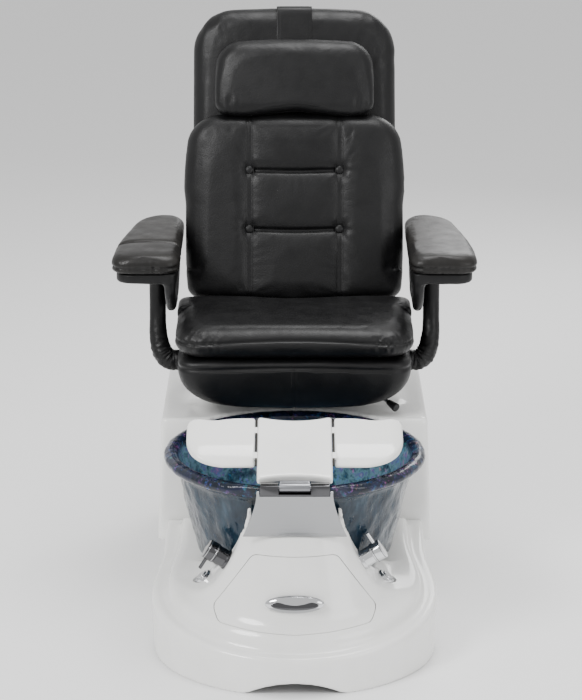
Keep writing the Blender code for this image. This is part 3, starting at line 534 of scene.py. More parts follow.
def bowl_room(x, y, z, gap, low):
    """Distance to the space that the bowl stands in."""
    lean = 0.97
    wall = (np.sqrt(x * x + (y - BOWL_Y) ** 2) - bowl_radius(z) - gap) * lean
    return np.maximum(wall, low - z)


def plinth_distance(x, y):
    """Distance from the plinth's outline, seen from above."""
    ahead = np.maximum(PLINTH_WIDEST_Y - y, 0)
    across, along = np.abs(x) / PLINTH_HALF, ahead / (PLINTH_WIDEST_Y - FRONT_Y)
    reach = np.sqrt(across ** 2 + along ** 2)
    steep = np.sqrt((across / PLINTH_HALF) ** 2 + (along / (PLINTH_WIDEST_Y - FRONT_Y)) ** 2)
    front = (reach - 1) * reach / np.maximum(steep, 1.5)
    share = np.clip((y - PLINTH_WIDEST_Y) / (WAIST_Y - PLINTH_WIDEST_Y), 0, 1)
    half = WAIST_HALF + (PLINTH_HALF - WAIST_HALF) * (1 + np.cos(pi * share)) / 2
    side = np.abs(x) - half
    return np.maximum(np.where(y < PLINTH_WIDEST_Y, front, side), y - BASE_BACK_Y)


def base_solid(x, y, z):
    """Distance to the moulded base, as if it were solid and went on below the floor."""
    rim = (z - RIM_FRONT_Z - RIM_SLOPE * (y - FRONT_Y)) * 0.985
    outline = plinth_distance(x, y)
    draft = SKIRT_DRAFT * np.clip(1 - z / 0.12, 0, 1)
    skirt = soft_max(outline + draft, rim, 0.014)
    terrace = soft_max(outline + TERRACE_INSET, rim - TERRACE_RISE, 0.026)
    body = soft_min(skirt, terrace, 0.014)

    flank_x = np.interp(-z, -SIDE_WALL[:, 1], SIDE_WALL[:, 0])
    flank_slope = np.interp(-z, -SIDE_WALL[:, 1], np.abs(np.gradient(SIDE_WALL[:, 0], SIDE_WALL[:, 1])))
    flank = (np.abs(x) - flank_x) / np.sqrt(1 + flank_slope ** 2)
    flank = np.where(z < SIDE_WALL[-1, 1], np.minimum(flank, (np.abs(x) - flank_x) * 0.4), flank)
    away = np.sqrt(x * x + (y - HILL_Y) ** 2)
    cone = (away - HILL_TOP_RADIUS - HILL_FLARE * (HILL_TOP_Z - z)) * 0.936
    hill = soft_max(soft_max(cone, z - HILL_TOP_Z, 0.006), flank, 0.007)
    shell = (np.sqrt(x * x + (y - BOWL_Y) ** 2) - bowl_radius(z) - BOWL_GAP - FIN_THICK) * 0.97
    window = np.interp(z, (HILL_TOP_Z, 0.370), (LEDGE_HALF, WINDOW_HALF))
    fins = np.maximum(np.maximum(shell, z - FIN_TOP_Z), np.maximum(window - np.abs(x), y + 0.375))
    fins = soft_max(fins, flank, 0.004)
    console = np.maximum(soft_min(hill, fins, 0.008), y + 0.300)
    body = soft_min(body, console, 0.034)
    return soft_max(body, -bowl_room(x, y, z, BOWL_GAP, BOWL_FOOT_Z - 0.0003), 0.005)


def base_shell(x, y, z):
    """The laminate: the solid, hollow from below, with the toe notch and the drain hole."""
    solid = base_solid(x, y, z)
    shell = np.maximum(np.maximum(solid, -z), -(solid + WALL))
    notch = np.maximum(np.sqrt(x * x + (z + 0.192) ** 2) - 0.219, y + 0.56)
    drain = np.maximum(np.sqrt(x * x + (y - BOWL_Y) ** 2) - 0.036, 0.10 - z)
    pipes = np.maximum(np.maximum(np.abs(x) - 0.10, -y - 0.06), z - 0.15)
    shell = soft_max(shell, -notch, 0.010)
    return np.maximum(np.maximum(shell, -drain), -pipes)


def door_outline(grow):
    """The access door from the front, as a rounded (x, z) outline."""
    right = [(0.085, 0.132 - grow), (0.172 + grow, 0.138 - grow), (0.186 + grow, 0.161),
             (0.094 + grow / 2, 0.287 + grow)]
    corners = [(0, 0.129 - grow)] + right + [(-x, z) for x, z in reversed(right)]
    radii = [0.05, 0.05, 0.016, 0.018, 0.025, 0.025, 0.018, 0.016, 0.05]
    outline = []
    for i, (corner, radius) in enumerate(zip(corners, radii)):
        here = Vector(corner)
        before = (Vector(corners[i - 1]) - here).normalized()
        after = (Vector(corners[(i + 1) % len(corners)]) - here).normalized()
        half = before.angle(after) / 2
        centre = here + (before + after).normalized() * radius / sin(half)
        reach = radius * cos(half) / sin(half)
        first, last = here + before * reach - centre, here + after * reach - centre
        turn = first.angle_signed(last)
        for step in range(7):
            part = -turn * step / 6
            outline.append(centre + Vector((first.x * cos(part) - first.y * sin(part),
                                            first.x * sin(part) + first.y * cos(part))))
    return outline


def door_prism(grow):
    """A cutter for the door: from well ahead of the console to just behind its front wall."""
    ahead, behind = [], []
    for point in door_outline(grow):
        radius = HILL_TOP_RADIUS + HILL_FLARE * (HILL_TOP_Z - point.y)
        ahead.append((point.x, FRONT_Y - 0.1, point.y))
        behind.append((point.x, HILL_Y - sqrt(radius ** 2 - point.x ** 2) + WALL + 0.007, point.y))
    return loft([ahead, behind])


def fitting(joint):
    """The direction a valve or switch points in out of the console's side wall, turned to point upward."""
    axis = Vector(JOINTS[joint]["axis"])
    return axis if axis.z > 0 else -axis


def make_base():
    low, high = BASE_LOW, BASE_HIGH
    shell = mould(base_shell, low, high, BASE_STEP)
    door = boolean(shell, "INTERSECT", door_prism(0))
    seats = []
    for node, joint in (("mixer_body", "mixer_turn"), ("diverter_body", "diverter_turn"),
                        ("jet_switch_bezel", "jet_switch_push"),
                        ("light_switch_bezel", "light_switch_push")):
        out = fitting(joint)
        foot, radius = foot_of(node, out)
        seats.append(cylinder(foot - out * 0.0003, foot + out * 0.05, radius + 0.0006))
    base = boolean(shell, "DIFFERENCE", door_prism(0.0014), joined(*seats))
    for mesh in (base, door):
        mesh.set_sharp_from_angle(angle=radians(50))
    made = piece("base_shell", base, "base", GELCOAT, ("base_front",))
    panel = piece("door_panel", door, "door", GELCOAT, ("access_door",))
    for each in (made, panel):
        each.data.set_sharp_from_angle(angle=radians(50))


def foot_of(node, out):
    """The centre of a round node's lower face and its largest radius, along out."""
    points = np.array([v.co for v in NODES[node].data.vertices])
    axis = np.array(out)
    heights = points @ axis
    centre = (points.min(0) + points.max(0)) / 2
    centre = points[heights < heights.min() + 0.0001].mean(0)
    around = points - centre
    radius = np.linalg.norm(around - np.outer(around @ axis, axis), axis=1).max()
    return Vector(centre), float(radius)


def cabinet_field(x, y, z):
    """The rear cabinet with its toe space, the seat pedestal and the room inside."""
    half = np.where(z > KICK_Z, CABINET_HIGH.x - 0.0381 * (z - KICK_Z), CABINET_HIGH.x)
    box = soft_max(np.abs(x) - half, z - CABINET_TOP_Z, 0.014)
    box = soft_max(box, CABINET_LOW.y - y, 0.014)
    box = np.maximum(box, y - CABINET_HIGH.y)
    toe = np.maximum(KICK_HALF - np.abs(x), z - KICK_Z)
    box = soft_max(box, -toe, 0.008)
    rise = np.clip((z - CABINET_TOP_Z) / 0.04, 0, 1)
    pedestal = soft_max(np.abs(x) - (0.262 - 0.012 * rise), np.abs(y - 0.27) - (0.160 - 0.005 * rise), 0.040)
    pedestal = np.maximum(soft_max(pedestal, z - CABINET_HIGH.z, 0.010), 0.40 - z)
    body = soft_min(box, pedestal, 0.022)
    body = soft_max(body, -bowl_room(x, y, z, BOWL_GAP, BOWL_FOOT_Z - 0.010), 0.005)
    rim = np.maximum(np.sqrt(x * x + (y - BOWL_Y) ** 2) - BOWL_RIM_RADIUS - 0.004,
                     BOWL_RIM_Z - 2 * ROLL_HALF_HEIGHT - 0.006 - z)
    body = soft_max(body, -rim, 0.005)
    room = np.maximum(np.maximum(np.abs(x) - KICK_HALF + 0.012, 0.075 - y), z - CABINET_TOP_Z + 0.012)
    jet = np.maximum(np.maximum(np.sqrt(x * x + (z - JET_Z) ** 2) - 0.062, y - 0.10), -0.05 - y)
    under = np.maximum(np.maximum(np.abs(x) - 0.20, np.abs(y) - 0.10), z - 0.185)
    body = np.maximum(body, -np.minimum(np.minimum(room, jet), under))
    return np.maximum(body, -z)


def make_cabinet():
    mesh = mould(cabinet_field, CABINET_LOW, CABINET_HIGH, 0.0065)
    made = piece("cabinet_shell", mesh, "base", GELCOAT, ("rear_cabinet",))
    made.data.set_sharp_from_angle(angle=radians(50))
    softened("rear_panel", 0.004, "base", GELCOAT)
    softened("power_inlet", 0.001, "base", PLASTIC)
    softened("water_inlets", 0.001, "base", CHROME)
    make_panel_screws()


def make_panel_screws():
    """Pan-head screws round the rear panel, set out on a grid of points."""
    low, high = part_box("rear_panel")
    inset, face = 0.022, high.y
    head = turned([(0, 0.0022), (0.0028, 0.0018), (0.0042, 0.0006), (0.0042, 0), (0, 0)], sides=16)
    slot_cut = cuboid((-0.0026, -0.0005, 0.0012), (0.0026, 0.0005, 0.004))
    head = boolean(head, "DIFFERENCE", slot_cut)
    stamp = bpy.data.objects.new("screw_head", head)
    SCENE.collection.objects.link(stamp)
    places = [(x, face, z) for x in (low.x + inset, 0, high.x - inset - 0.008)
              for z in (low.z + inset, high.z - inset)]
    made = scattered("panel_screws", places, (0, 1, 0), stamp, 1.0, ZINC)
    made = piece("panel_screws", made, "base", ZINC)
    made.data.set_sharp_from_angle(angle=radians(35))
    bpy.data.objects.remove(stamp)


def scattered(name, places, facing, stamp, scale, finish, follow=None):
    """Copies of a stamp on points, made by a node tree. follow gives each copy its own direction."""
    cloud = bpy.data.meshes.new(name + "_points")
    cloud.from_pydata([tuple(p) for p in places], [], [])
    directions = follow or [facing] * len(places)
    along = cloud.attributes.new("along", "FLOAT_VECTOR", "POINT")
    along.data.foreach_set("vector", np.array([tuple(d) for d in directions], np.float32).ravel())
    tree = bpy.data.node_groups.new(name + "_layout", "GeometryNodeTree")
    tree.interface.new_socket("Geometry", in_out="INPUT", socket_type="NodeSocketGeometry")
    tree.interface.new_socket("Stamp", in_out="INPUT", socket_type="NodeSocketObject")
    tree.interface.new_socket("Size", in_out="INPUT", socket_type="NodeSocketFloat")
    tree.interface.new_socket("Finish", in_out="INPUT", socket_type="NodeSocketMaterial")
    tree.interface.new_socket("Geometry", in_out="OUTPUT", socket_type="NodeSocketGeometry")
    inputs = add(tree, "NodeGroupInput").outputs
    info = add(tree, "GeometryNodeObjectInfo", links={"Object": inputs["Stamp"]}).outputs["Geometry"]
    along_output = add(tree, "GeometryNodeInputNamedAttribute",
                       {"data_type": "FLOAT_VECTOR", "Name": "along"}).outputs[0]
    turn = add(tree, "FunctionNodeAlignRotationToVector", {"axis": "Z"},
               {"Vector": along_output}).outputs["Rotation"]
    copies = add(tree, "GeometryNodeInstanceOnPoints",
                 links={"Points": inputs["Geometry"], "Instance": info, "Rotation": turn,
                        "Scale": inputs["Size"]}).outputs["Instances"]
    solid = add(tree, "GeometryNodeRealizeInstances", links={"Geometry": copies}).outputs["Geometry"]
    painted = add(tree, "GeometryNodeSetMaterial",
                  links={"Geometry": solid, "Material": inputs["Finish"]}).outputs["Geometry"]
    add(tree, "NodeGroupOutput", links={"Geometry": painted})
    holder = bpy.data.objects.new(name + "_holder", cloud)
    SCENE.collection.objects.link(holder)
    modifier = holder.modifiers.new("layout", "NODES")
    modifier.node_group = tree
    sockets = {item.name: item.identifier for item in tree.interface.items_tree if item.in_out == "INPUT"}
    modifier[sockets["Stamp"]] = stamp
    modifier[sockets["Size"]] = scale
    modifier[sockets["Finish"]] = finish
    made = bpy.data.meshes.new_from_object(holder.evaluated_get(bpy.context.evaluated_depsgraph_get()))
    bpy.data.objects.remove(holder)
    return made


# ---------------------------------------------------------------- bowl, plate and fittings

def make_bowl():
    """A slumped glass bowl: drawn ripples down the wall, a thick rolled rim, a drain hole and a jet hole."""
    roll_r, roll_z = BOWL_RIM_RADIUS - ROLL_HALF_WIDTH - 0.0010, BOWL_RIM_Z - ROLL_HALF_HEIGHT - 0.0010
    turns = np.radians(np.arange(165, -116, -14))
    rim = [(roll_r + ROLL_HALF_WIDTH * cos(a), roll_z + ROLL_HALF_HEIGHT * sin(a)) for a in turns]
    outer = [(BOWL_NECK_RADIUS + 0.0015, BOWL_NECK_Z - 0.0105),
             (BOWL_NECK_RADIUS - 0.0008, BOWL_NECK_Z - 0.014)]
    outer += [(bowl_radius(z), z) for z in np.linspace(BOWL_NECK_Z - 0.020, BOWL_FOOT_Z + 0.012, 40)]
    outer += [(BOWL_FOOT_RADIUS - 0.004, BOWL_FOOT_Z + 0.004), (BOWL_FOOT_RADIUS - 0.012, BOWL_FOOT_Z)]
    outer += [(r, BOWL_FOOT_Z) for r in np.linspace(0.19, DRAIN_RADIUS, 6)]
    inner = [(r, BOWL_FOOT_Z + BOWL_WALL) for r in np.linspace(DRAIN_RADIUS, BOWL_FOOT_RADIUS - 0.045, 10)]
    inner += [(BOWL_FOOT_RADIUS - 0.026, BOWL_FOOT_Z + 0.014),
              (BOWL_FOOT_RADIUS - 0.016, BOWL_FOOT_Z + 0.026)]
    inner += [(bowl_radius(z) - BOWL_WALL - 0.004 * (BOWL_NECK_Z - z) / 0.2, z)
              for z in np.linspace(BOWL_FOOT_Z + 0.040, BOWL_NECK_Z - 0.002, 30)]
    profile = rim + outer + inner
    side = [0.5] * len(rim) + [0.0] * len(outer) + [1.0] * len(inner)
    around = 260
    rings = []
    for row, (radius, z) in enumerate(profile):
        height = min(max((z - BOWL_FOOT_Z - 0.003) / 0.03, 0), 1)
        ring = []
        for i in range(around):
            angle = 2 * pi * i / around
            across, along = cos(angle), sin(angle)
            wall = noise.fractal(Vector((across * 7.5, along * 7.5, z * 16)), 0.8, 2.0, 3)
            crest = noise.noise(Vector((across * 38, along * 38, z * 60)))
            reach = radius + (0.0034 * wall * height if side[row] != 0.5 else 0.0010 * wall + 0.0006 * crest)
            if reach > 0.299 and along < 0:
                reach -= (reach - 0.299) * min(max((0.50 - abs(across)) / 0.12, 0), 1)
            ring.append((reach * across, BOWL_Y + reach * along,
                         z + (0.0006 * crest if side[row] == 0.5 else 0)))
        rings.append(ring)
    mesh = loft(rings, closed_along=True)
    tone = mesh.attributes.new("side", "FLOAT", "POINT")
    tone.data.foreach_set("value", np.repeat(np.array(side, np.float32), around))
    mesh = boolean(mesh, "DIFFERENCE", cylinder((0, 0.07, JET_Z), (0, -0.06, JET_Z), JET_HOLE_RADIUS))
    made = piece("bowl_glass", mesh, "base", GLASS, ("bowl",))
    made.data.set_sharp_from_angle(angle=radians(60))


def dress_fittings():
    """The metal and plastic parts keep their CAD shape with rounded edges and plated finishes."""
    for node, width, body, finish, slot in (
            ("drain_flange", 0.0008, "base", CHROME, "chrome"),
            ("drain_plug", 0.0006, "drain_stopper", CHROME, "chrome"),
            ("jet_cap", 0.0012, "base", CHROME, "chrome"),
            ("jet_housing", 0.0008, "base", PLASTIC, "plastic"),
            ("jet_impeller", 0.0004, "impeller", PLASTIC, "plastic"),
            ("jet_motor", 0.003, "base", ZINC, "steel"),
            ("drain_elbow", 0.001, "base", PIPE, "plastic"),
            ("footrest_bracket", 0.0016, "base", DARK_CHROME, "chrome"),
            ("footrest_pin", 0.0006, "base", ZINC, "steel"),
            ("footrest_arm", 0.0010, "footrest", ZINC, "steel"),
            ("mixer_body", 0.0012, "base", DARK_CHROME, "chrome"),
            ("diverter_body", 0.0012, "base", CHROME, "chrome"),
            ("jet_switch_bezel", 0.0018, "base", CHROME, "chrome"),
            ("light_switch_bezel", 0.0018, "base", CHROME, "chrome"),
            ("jet_switch_button", 0.0016, "jet_button", CHROME, "chrome"),
            ("light_switch_button", 0.0016, "light_button", CHROME, "chrome"),
            ("seat_pan", 0.0010, "seat", ZINC, "steel"), ("slide_rail_left", 0.0010, "base", ZINC, "steel"),
            ("slide_rail_right", 0.0010, "base", ZINC, "steel"),
            ("slide_lever", 0.0006, "lever", ZINC, "steel"),
            ("lever_knob", 0.0040, "lever", PLASTIC, "plastic"),
            ("recline_bracket", 0.0008, "seat", ZINC, "steel"),
            ("recline_ears", 0.0008, "back", ZINC, "steel"),
            ("arm_pivot_left", 0.0008, "seat", ZINC, "steel"),
            ("arm_pivot_right", 0.0008, "seat", ZINC, "steel"),
            ("wing_hinge_rod_left", 0.0004, "footrest", DARK_STEEL, "steel"),
            ("wing_hinge_rod_right", 0.0004, "footrest", DARK_STEEL, "steel"),
            ("mixer_knob", 0.0016, "mixer_handle", DARK_CHROME, "chrome"),
            ("diverter_knob", 0.0016, "diverter_handle", CHROME, "chrome"),
            ("mirror_plate", 0.0008, "base", MIRROR, "chrome")):
        softened(node, width, body, finish)


def make_footrest():
    """The footrest's pads: a waisted centre pad and two wings that roll down at the front like deep trays."""
    low, high = local_box("centre_pad", FOOTREST)

    def centre_pad(x, y, z):
        reach = (x / high.x) ** 2
        ends = np.maximum(low.y + 0.012 * (1 - reach) - y, y - high.y + 0.012 * (1 - reach))
        dish = 0.0022 * np.cos(np.clip((y - 0.15) / 0.11, -1, 1) * pi / 2) * np.clip(1 - reach, 0, 1)
        faces = np.maximum(z - high.z + dish, low.z - z)
        return slab(soft_max(np.abs(x) - high.x - 0.0018, ends, 0.008), faces, 0.0055)
    mesh = finer(mould(centre_pad, low, high, 0.0035))
    mesh.transform(FOOTREST)
    piece("centre_pad_tray", mesh, "footrest", GELCOAT, ("centre_pad",))

    for side, name in ((-1, "left"), (1, "right")):
        low, high = local_box(f"wing_pad_{name}", FOOTREST)
        outer_x, inner_x = 0.2462, 0.0897

        def wing(x, y, z):
            x = x * side
            back = y - high.y + 0.0075 * np.exp(-((x - 0.185) / 0.032) ** 2)
            outline = soft_max(x - outer_x, back, 0.022)
            outline = soft_max(outline, 0.087 + 0.010 * np.clip((x - 0.16) / 0.08, 0, 1) - y, 0.085)
            outline = soft_max(outline, inner_x - x, 0.006)
            roll = 0.0150 * np.clip((0.152 - y) / 0.065, 0,
                                    1) ** 2 + 0.010 * np.clip((x - 0.215) / 0.035, 0, 1) ** 2
            faces = np.maximum(z - high.z + roll, low.z - 0.002 - z)
            return slab(outline, faces, 0.0045)
        mesh = finer(mould(wing, low, high, 0.0035))
        rod_x, rod_z = side * 0.08725, high.z - 0.0035
        lugs = [cuboid((min(rod_x - side * 0.0028, side * 0.094), start, high.z - 0.0063),
                       (max(rod_x - side * 0.0028, side * 0.094), start + 0.020, high.z - 0.0007))
                       for start in (0.100, 0.190)]
        mesh = boolean(mesh, "UNION", joined(*lugs))
        rod_hole = cylinder((rod_x, 0.05, rod_z), (rod_x, 0.30, rod_z), 0.0023, sides=20)
        mesh = boolean(mesh, "DIFFERENCE", rod_hole)
        mesh.transform(FOOTREST)
        made = piece(f"wing_tray_{name}", mesh, f"wing_{name}", GELCOAT, (f"wing_pad_{name}",))
        made.data.set_sharp_from_angle(angle=radians(50))


def make_handle():
    """The door's oval cup pull: a polished dome that is open on its lower side, with a dark sheet in its
    mouth as painted shade.
    """
    low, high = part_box("door_pull")
    out = Vector((0, -1, HILL_FLARE)).normalized()
    up = Vector((0, HILL_FLARE, 1)).normalized()
    middle_z = 0.190
    centre = Vector((0, HILL_Y - HILL_TOP_RADIUS - HILL_FLARE * (HILL_TOP_Z - middle_z),
                     middle_z)) + out * 0.0020
    half_width, half_height = (high.x - low.x) / 2, 0.0210

    def dome(width, height, lift, tilt):
        rings = []
        for t in np.linspace(0, 0.97, 10):
            reach, rise = cos(t * pi / 2), sin(t * pi / 2)
            rings.append([centre + Vector((width * reach * cos(a), 0, 0))
                          + up * (height * reach * sin(a) + tilt * rise)
                          + out * (lift * rise) for a in (2 * pi * i / 72 for i in range(72))])
        return rings
    shell = dome(half_width, half_height, 0.0155, 0.003)
    skirt = [[point - out * 0.0014 for point in shell[0]]]
    mesh = loft(skirt + shell)
    scoop = dome(half_width * 0.86, half_height * 0.80, 0.0115, -0.003)
    scoop = loft([[point + out * 0.0015 - up * 0.010 for point in ring] for ring in scoop])
    mesh = boolean(mesh, "DIFFERENCE", scoop)
    made = piece("pull_cup", mesh, "door", CHROME, ("door_pull",))
    made.data.set_sharp_from_angle(angle=radians(35))
    # painted shade: a dark chrome sheet set in the mouth of the cup, where the hollow falls in shade
    hollow = dome(half_width * 0.80, half_height * 0.52, 0.0030, 0)
    hollow = loft([[point + out * 0.0118 - up * 0.0035 for point in ring] for ring in hollow])
    piece("pull_recess", hollow, "door", DARK_CHROME)


def make_knob_rings():
    """Fine grooves round the two valve handles, drawn as thin rings of the other plating: dark rings on the
    chrome diverter handle as painted shade in its grooves, bright chrome rings on the dark mixer handle.
    """
    for joint, node, body in (("mixer_turn", "mixer_knob", "mixer_handle"),
                              ("diverter_turn", "diverter_knob", "diverter_handle")):
        out = Vector(JOINTS[joint]["axis"])
        foot = Vector(JOINTS[joint]["pos_m"])
        turn = out.to_track_quat("Z", "Y").to_matrix().to_4x4()
        rings = []
        for height, radius in ((0.0345, 0.0231), (0.0525, 0.0231)):
            place = Matrix.Translation(foot + out * height) @ turn
            profile = [(radius + 0.0007 * cos(a), 0.0007 * sin(a)) for a in np.linspace(0, 2 * pi, 9)[:-1]]
            rings.append(turned(profile, place, sides=48))
        # the dark rings on the chrome diverter handle are painted groove shade
        piece(f"{body}_rings", joined(*rings), body, CHROME if node == "mixer_knob" else DARK_CHROME)


# ---------------------------------------------------------------- padded pieces

def swell(mesh, pressure, cap, held=None, slack=0.0):
    """Blows a closed skin up as cloth. No point moves further than cap or sinks inward. held pins points."""
    holder = bpy.data.objects.new("cushion_cloth", mesh)
    SCENE.collection.objects.link(holder)
    rest, out = coordinates(mesh), normals(mesh)
    cloth = holder.modifiers.new("cloth", "CLOTH")
    settings = cloth.settings
    settings.quality = 3
    settings.use_pressure = True
    settings.uniform_pressure_force = pressure
    settings.tension_stiffness = settings.compression_stiffness = 18
    settings.shear_stiffness = 6
    settings.bending_stiffness = 0.6
    settings.shrink_min = -slack
    settings.effector_weights.gravity = 0
    cloth.collision_settings.use_collision = False
    if held is not None:
        group = holder.vertex_groups.new(name="held")
        group.add(np.nonzero(held(*rest.T))[0].tolist(), 1.0, "REPLACE")
        settings.vertex_group_mass = "held"
    for step in range(1, CLOTH_FRAMES + 1):
        SCENE.frame_set(step)
        holder.evaluated_get(bpy.context.evaluated_depsgraph_get())
    blown = bpy.data.meshes.new_from_object(holder.evaluated_get(bpy.context.evaluated_depsgraph_get()))
    moved = coordinates(blown) - rest
    bpy.data.objects.remove(holder)
    SCENE.frame_set(1)
    moved -= out * np.minimum((moved * out).sum(1), 0)[:, None]
    reach = np.linalg.norm(moved, axis=1)
    moved *= np.minimum(1, cap / np.maximum(reach, 1e-9))[:, None]
    set_coordinates(mesh, rest + moved)
    return mesh


def groove(distance, width):
    """1 in the middle of a sewn line, falling to 0 over its width."""
    return np.exp(-(distance / width) ** 2)


def carve(mesh, depth):
    """Moves each point in along its normal by depth(x, y, z)."""
    points = coordinates(mesh)
    set_coordinates(mesh, points - normals(mesh) * depth(*points.T)[:, None])
    return mesh


def puckers(x, y, z, seed, scale=90.0):
    """Small gathered folds, from -1 to 1."""
    return np.array([noise.noise(Vector((a * scale + seed, b * scale, c * scale * 0.35))) for a, b,
                     c in zip(x, y, z)])


def seam_line(mesh, points, radius, body, name, finish, closed=False, sink=0.0003):
    """A sewn line: a thin bead laid on a cushion's skin along points."""
    tree = BVHTree.FromPolygons([v.co for v in mesh.vertices], [tuple(p.vertices) for p in mesh.polygons])
    laid = []
    for point in points:
        spot, normal, _, _ = tree.find_nearest(Vector(point))
        laid.append(spot - normal * sink)
    return piece(name, pipe(laid, radius, 8, closed), body, finish)


def round_path(half_x, half_y, radius, count, z=0.0):
    """A rounded rectangle in a plane, from the middle of its front side."""
    corners = [(half_x, -half_y), (half_x, half_y), (-half_x, half_y), (-half_x, -half_y)]
    marks = [(0, -half_y)]
    for i, (x, y) in enumerate(corners):
        centre = Vector((x - radius * np.sign(x), y - radius * np.sign(y)))
        first = -90 + 90 * i
        marks += [tuple(centre + Vector((cos(radians(first + d)), sin(radians(first + d)))) * radius)
                  for d in range(0, 91, 15)]
    line = [Vector((x, y, z)) for x, y in marks]
    lengths = np.cumsum([0] + [(b - a).length for a, b in zip(line, line[1:] + line[:1])])
    even = []
    for want in np.linspace(0, lengths[-1], count, endpoint=False):
        k = min(int(np.searchsorted(lengths, want, "right")) - 1, len(line) - 1)
        share = (want - lengths[k]) / max(lengths[k + 1] - lengths[k], 1e-9)
        even.append(line[k].lerp(line[(k + 1) % len(line)], share))
    return even


def make_seat():
    """The seat: a crowned box cushion, bowed at the front, with a seam that gathers at the corners."""
    low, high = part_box("seat_cushion")
    centre, half = (low + high) / 2, (high - low) / 2
    seam_z = 0.006

    def seam_height(x, y):
        return seam_z + 0.004 * np.cos(x * 11) * (y < 0)

    def field(x, y, z):
        bow = 0.012 * (1 - np.clip((x / half.x) ** 2, 0, 1))
        front = y + (0.010 - bow) * np.clip(-y / 0.1, 0, 1)
        plan = slab(np.abs(x) - half.x - 0.006, np.abs(front) - half.y - 0.006 * (y > 0),
                    np.where(y < 0, 0.075, 0.030))
        hollow = 0.009 * np.exp(-(x / 0.14) ** 2) * np.clip((y + 0.02) / 0.15, 0, 1)
        crown = 0.004 * np.clip((x / half.x) ** 2, 0, 1) + 0.012 * np.clip((-y - 0.02) / 0.14, 0, 1) ** 2
        lift = np.where(z > 0, z + crown + hollow,
                        z - 0.006 * np.clip((np.abs(x) - 0.10) / 0.17, 0, 1) * (y < 0))
        return slab(plan, np.abs(lift) - half.z, np.where(y < 0.06, 0.038, 0.014))

    mesh = mould(field, -half, half, PAD_STEP)
    mesh = swell(mesh, 3.0, 0.004, lambda x, y,
                 z: (np.abs(z - seam_height(x, y)) < 0.004) | (z < -half.z + 0.006), 0.003)
    mesh = finer(mesh)

    def depth(x, y, z):
        corner = np.exp(-((np.abs(x) - half.x + 0.060) / 0.050) ** 2) * (y < -half.y + 0.10)
        gap = z - seam_height(x, y)
        gathers = 0.5 + puckers(x * 1.5, y * 1.5, z * 0.5, 3.0, 75.0)
        creases = 0.0032 * corner * gathers * groove(gap, 0.020)
        return 0.0040 * groove(gap, 0.0040) + creases + 0.0006 * puckers(x, y, z, 9.0, 18.0)
    mesh = carve(mesh, depth)
    mesh.transform(Matrix.Translation(centre))
    made = piece("seat_cushion_cover", mesh, "seat", LEATHER, ("seat_cushion",))
    path = [p + centre + Vector((0, 0, float(seam_height(p.x, p.y))))
            for p in round_path(half.x, half.y, 0.05, 320)]
    seam_line(mesh, path, 0.0010, "seat", "seat_cushion_seam", THREAD, closed=True)


def tub_field(x, y, z, low, high):
    """The upholstered tub: wide at its rim, drawn in and under at the bottom, with a bowed front."""
    height = high.z - low.z
    share = np.clip((high.z - z) / height, 0, 1.2)
    half = 0.2835 - 0.100 * share ** 3.4
    front = low.y - 0.004 + 0.045 * share ** 3.4 + 0.014 * (x / 0.28) ** 2
    sides = soft_max(np.abs(x) - half, front - y, 0.055)
    solid = soft_max(sides, y - high.y, 0.030)
    solid = soft_max(solid, z - high.z, 0.022)
    floor = np.where(y < 0.035, low.z + 0.010 * (x / 0.2) ** 2, 0.5109)
    return soft_max(solid, floor - z, 0.016)


def make_tub():
    low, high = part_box("seat_shell")
    seam_z = high.z - 0.019

    def field(x, y, z):
        return tub_field(x, y, z, low, high)
    pivot = JOINTS["arm_left_tilt"]["pos_m"][1:]
    sockets = [cylinder((side * 0.255, *pivot), (side * 0.30, *pivot), 0.0143) for side in (-1, 1)]
    mesh = finer(mould(field, low, high, 0.007))

    def depth(x, y, z):
        lip = 0.0040 * groove(z - seam_z - 0.004 * np.cos(x * 12), 0.0042)
        middle = 0.0022 * groove(x, 0.0035) * (z < seam_z) * (y < 0)
        return lip + middle + 0.0011 * puckers(x, y, z, 8.0, 22.0)
    mesh = carve(mesh, depth)
    mesh = boolean(mesh, "DIFFERENCE", joined(*sockets))
    made = piece("seat_tub_cover", mesh, "seat", LEATHER, ("seat_shell",))
    made.data.set_sharp_from_angle(angle=radians(60))
    path = [Vector((x, -0.3, seam_z + 0.004 * cos(x * 12))) for x in np.linspace(-0.255, 0.255, 80)]
    rear = [Vector((0.4, y, seam_z + 0.004 * cos(3.2))) for y in np.linspace(0.02, high.y - 0.03, 30)]
    line = [Vector((-p.x, p.y, p.z)) for p in reversed(rear)] + path + rear
    seam_line(mesh, line, 0.0010, "seat", "seat_tub_seam", THREAD)
    front = [Vector((0, -0.3, z)) for z in np.linspace(seam_z, low.z + 0.02, 30)]
    seam_line(mesh, front, 0.0008, "seat", "seat_tub_front_seam", THREAD)


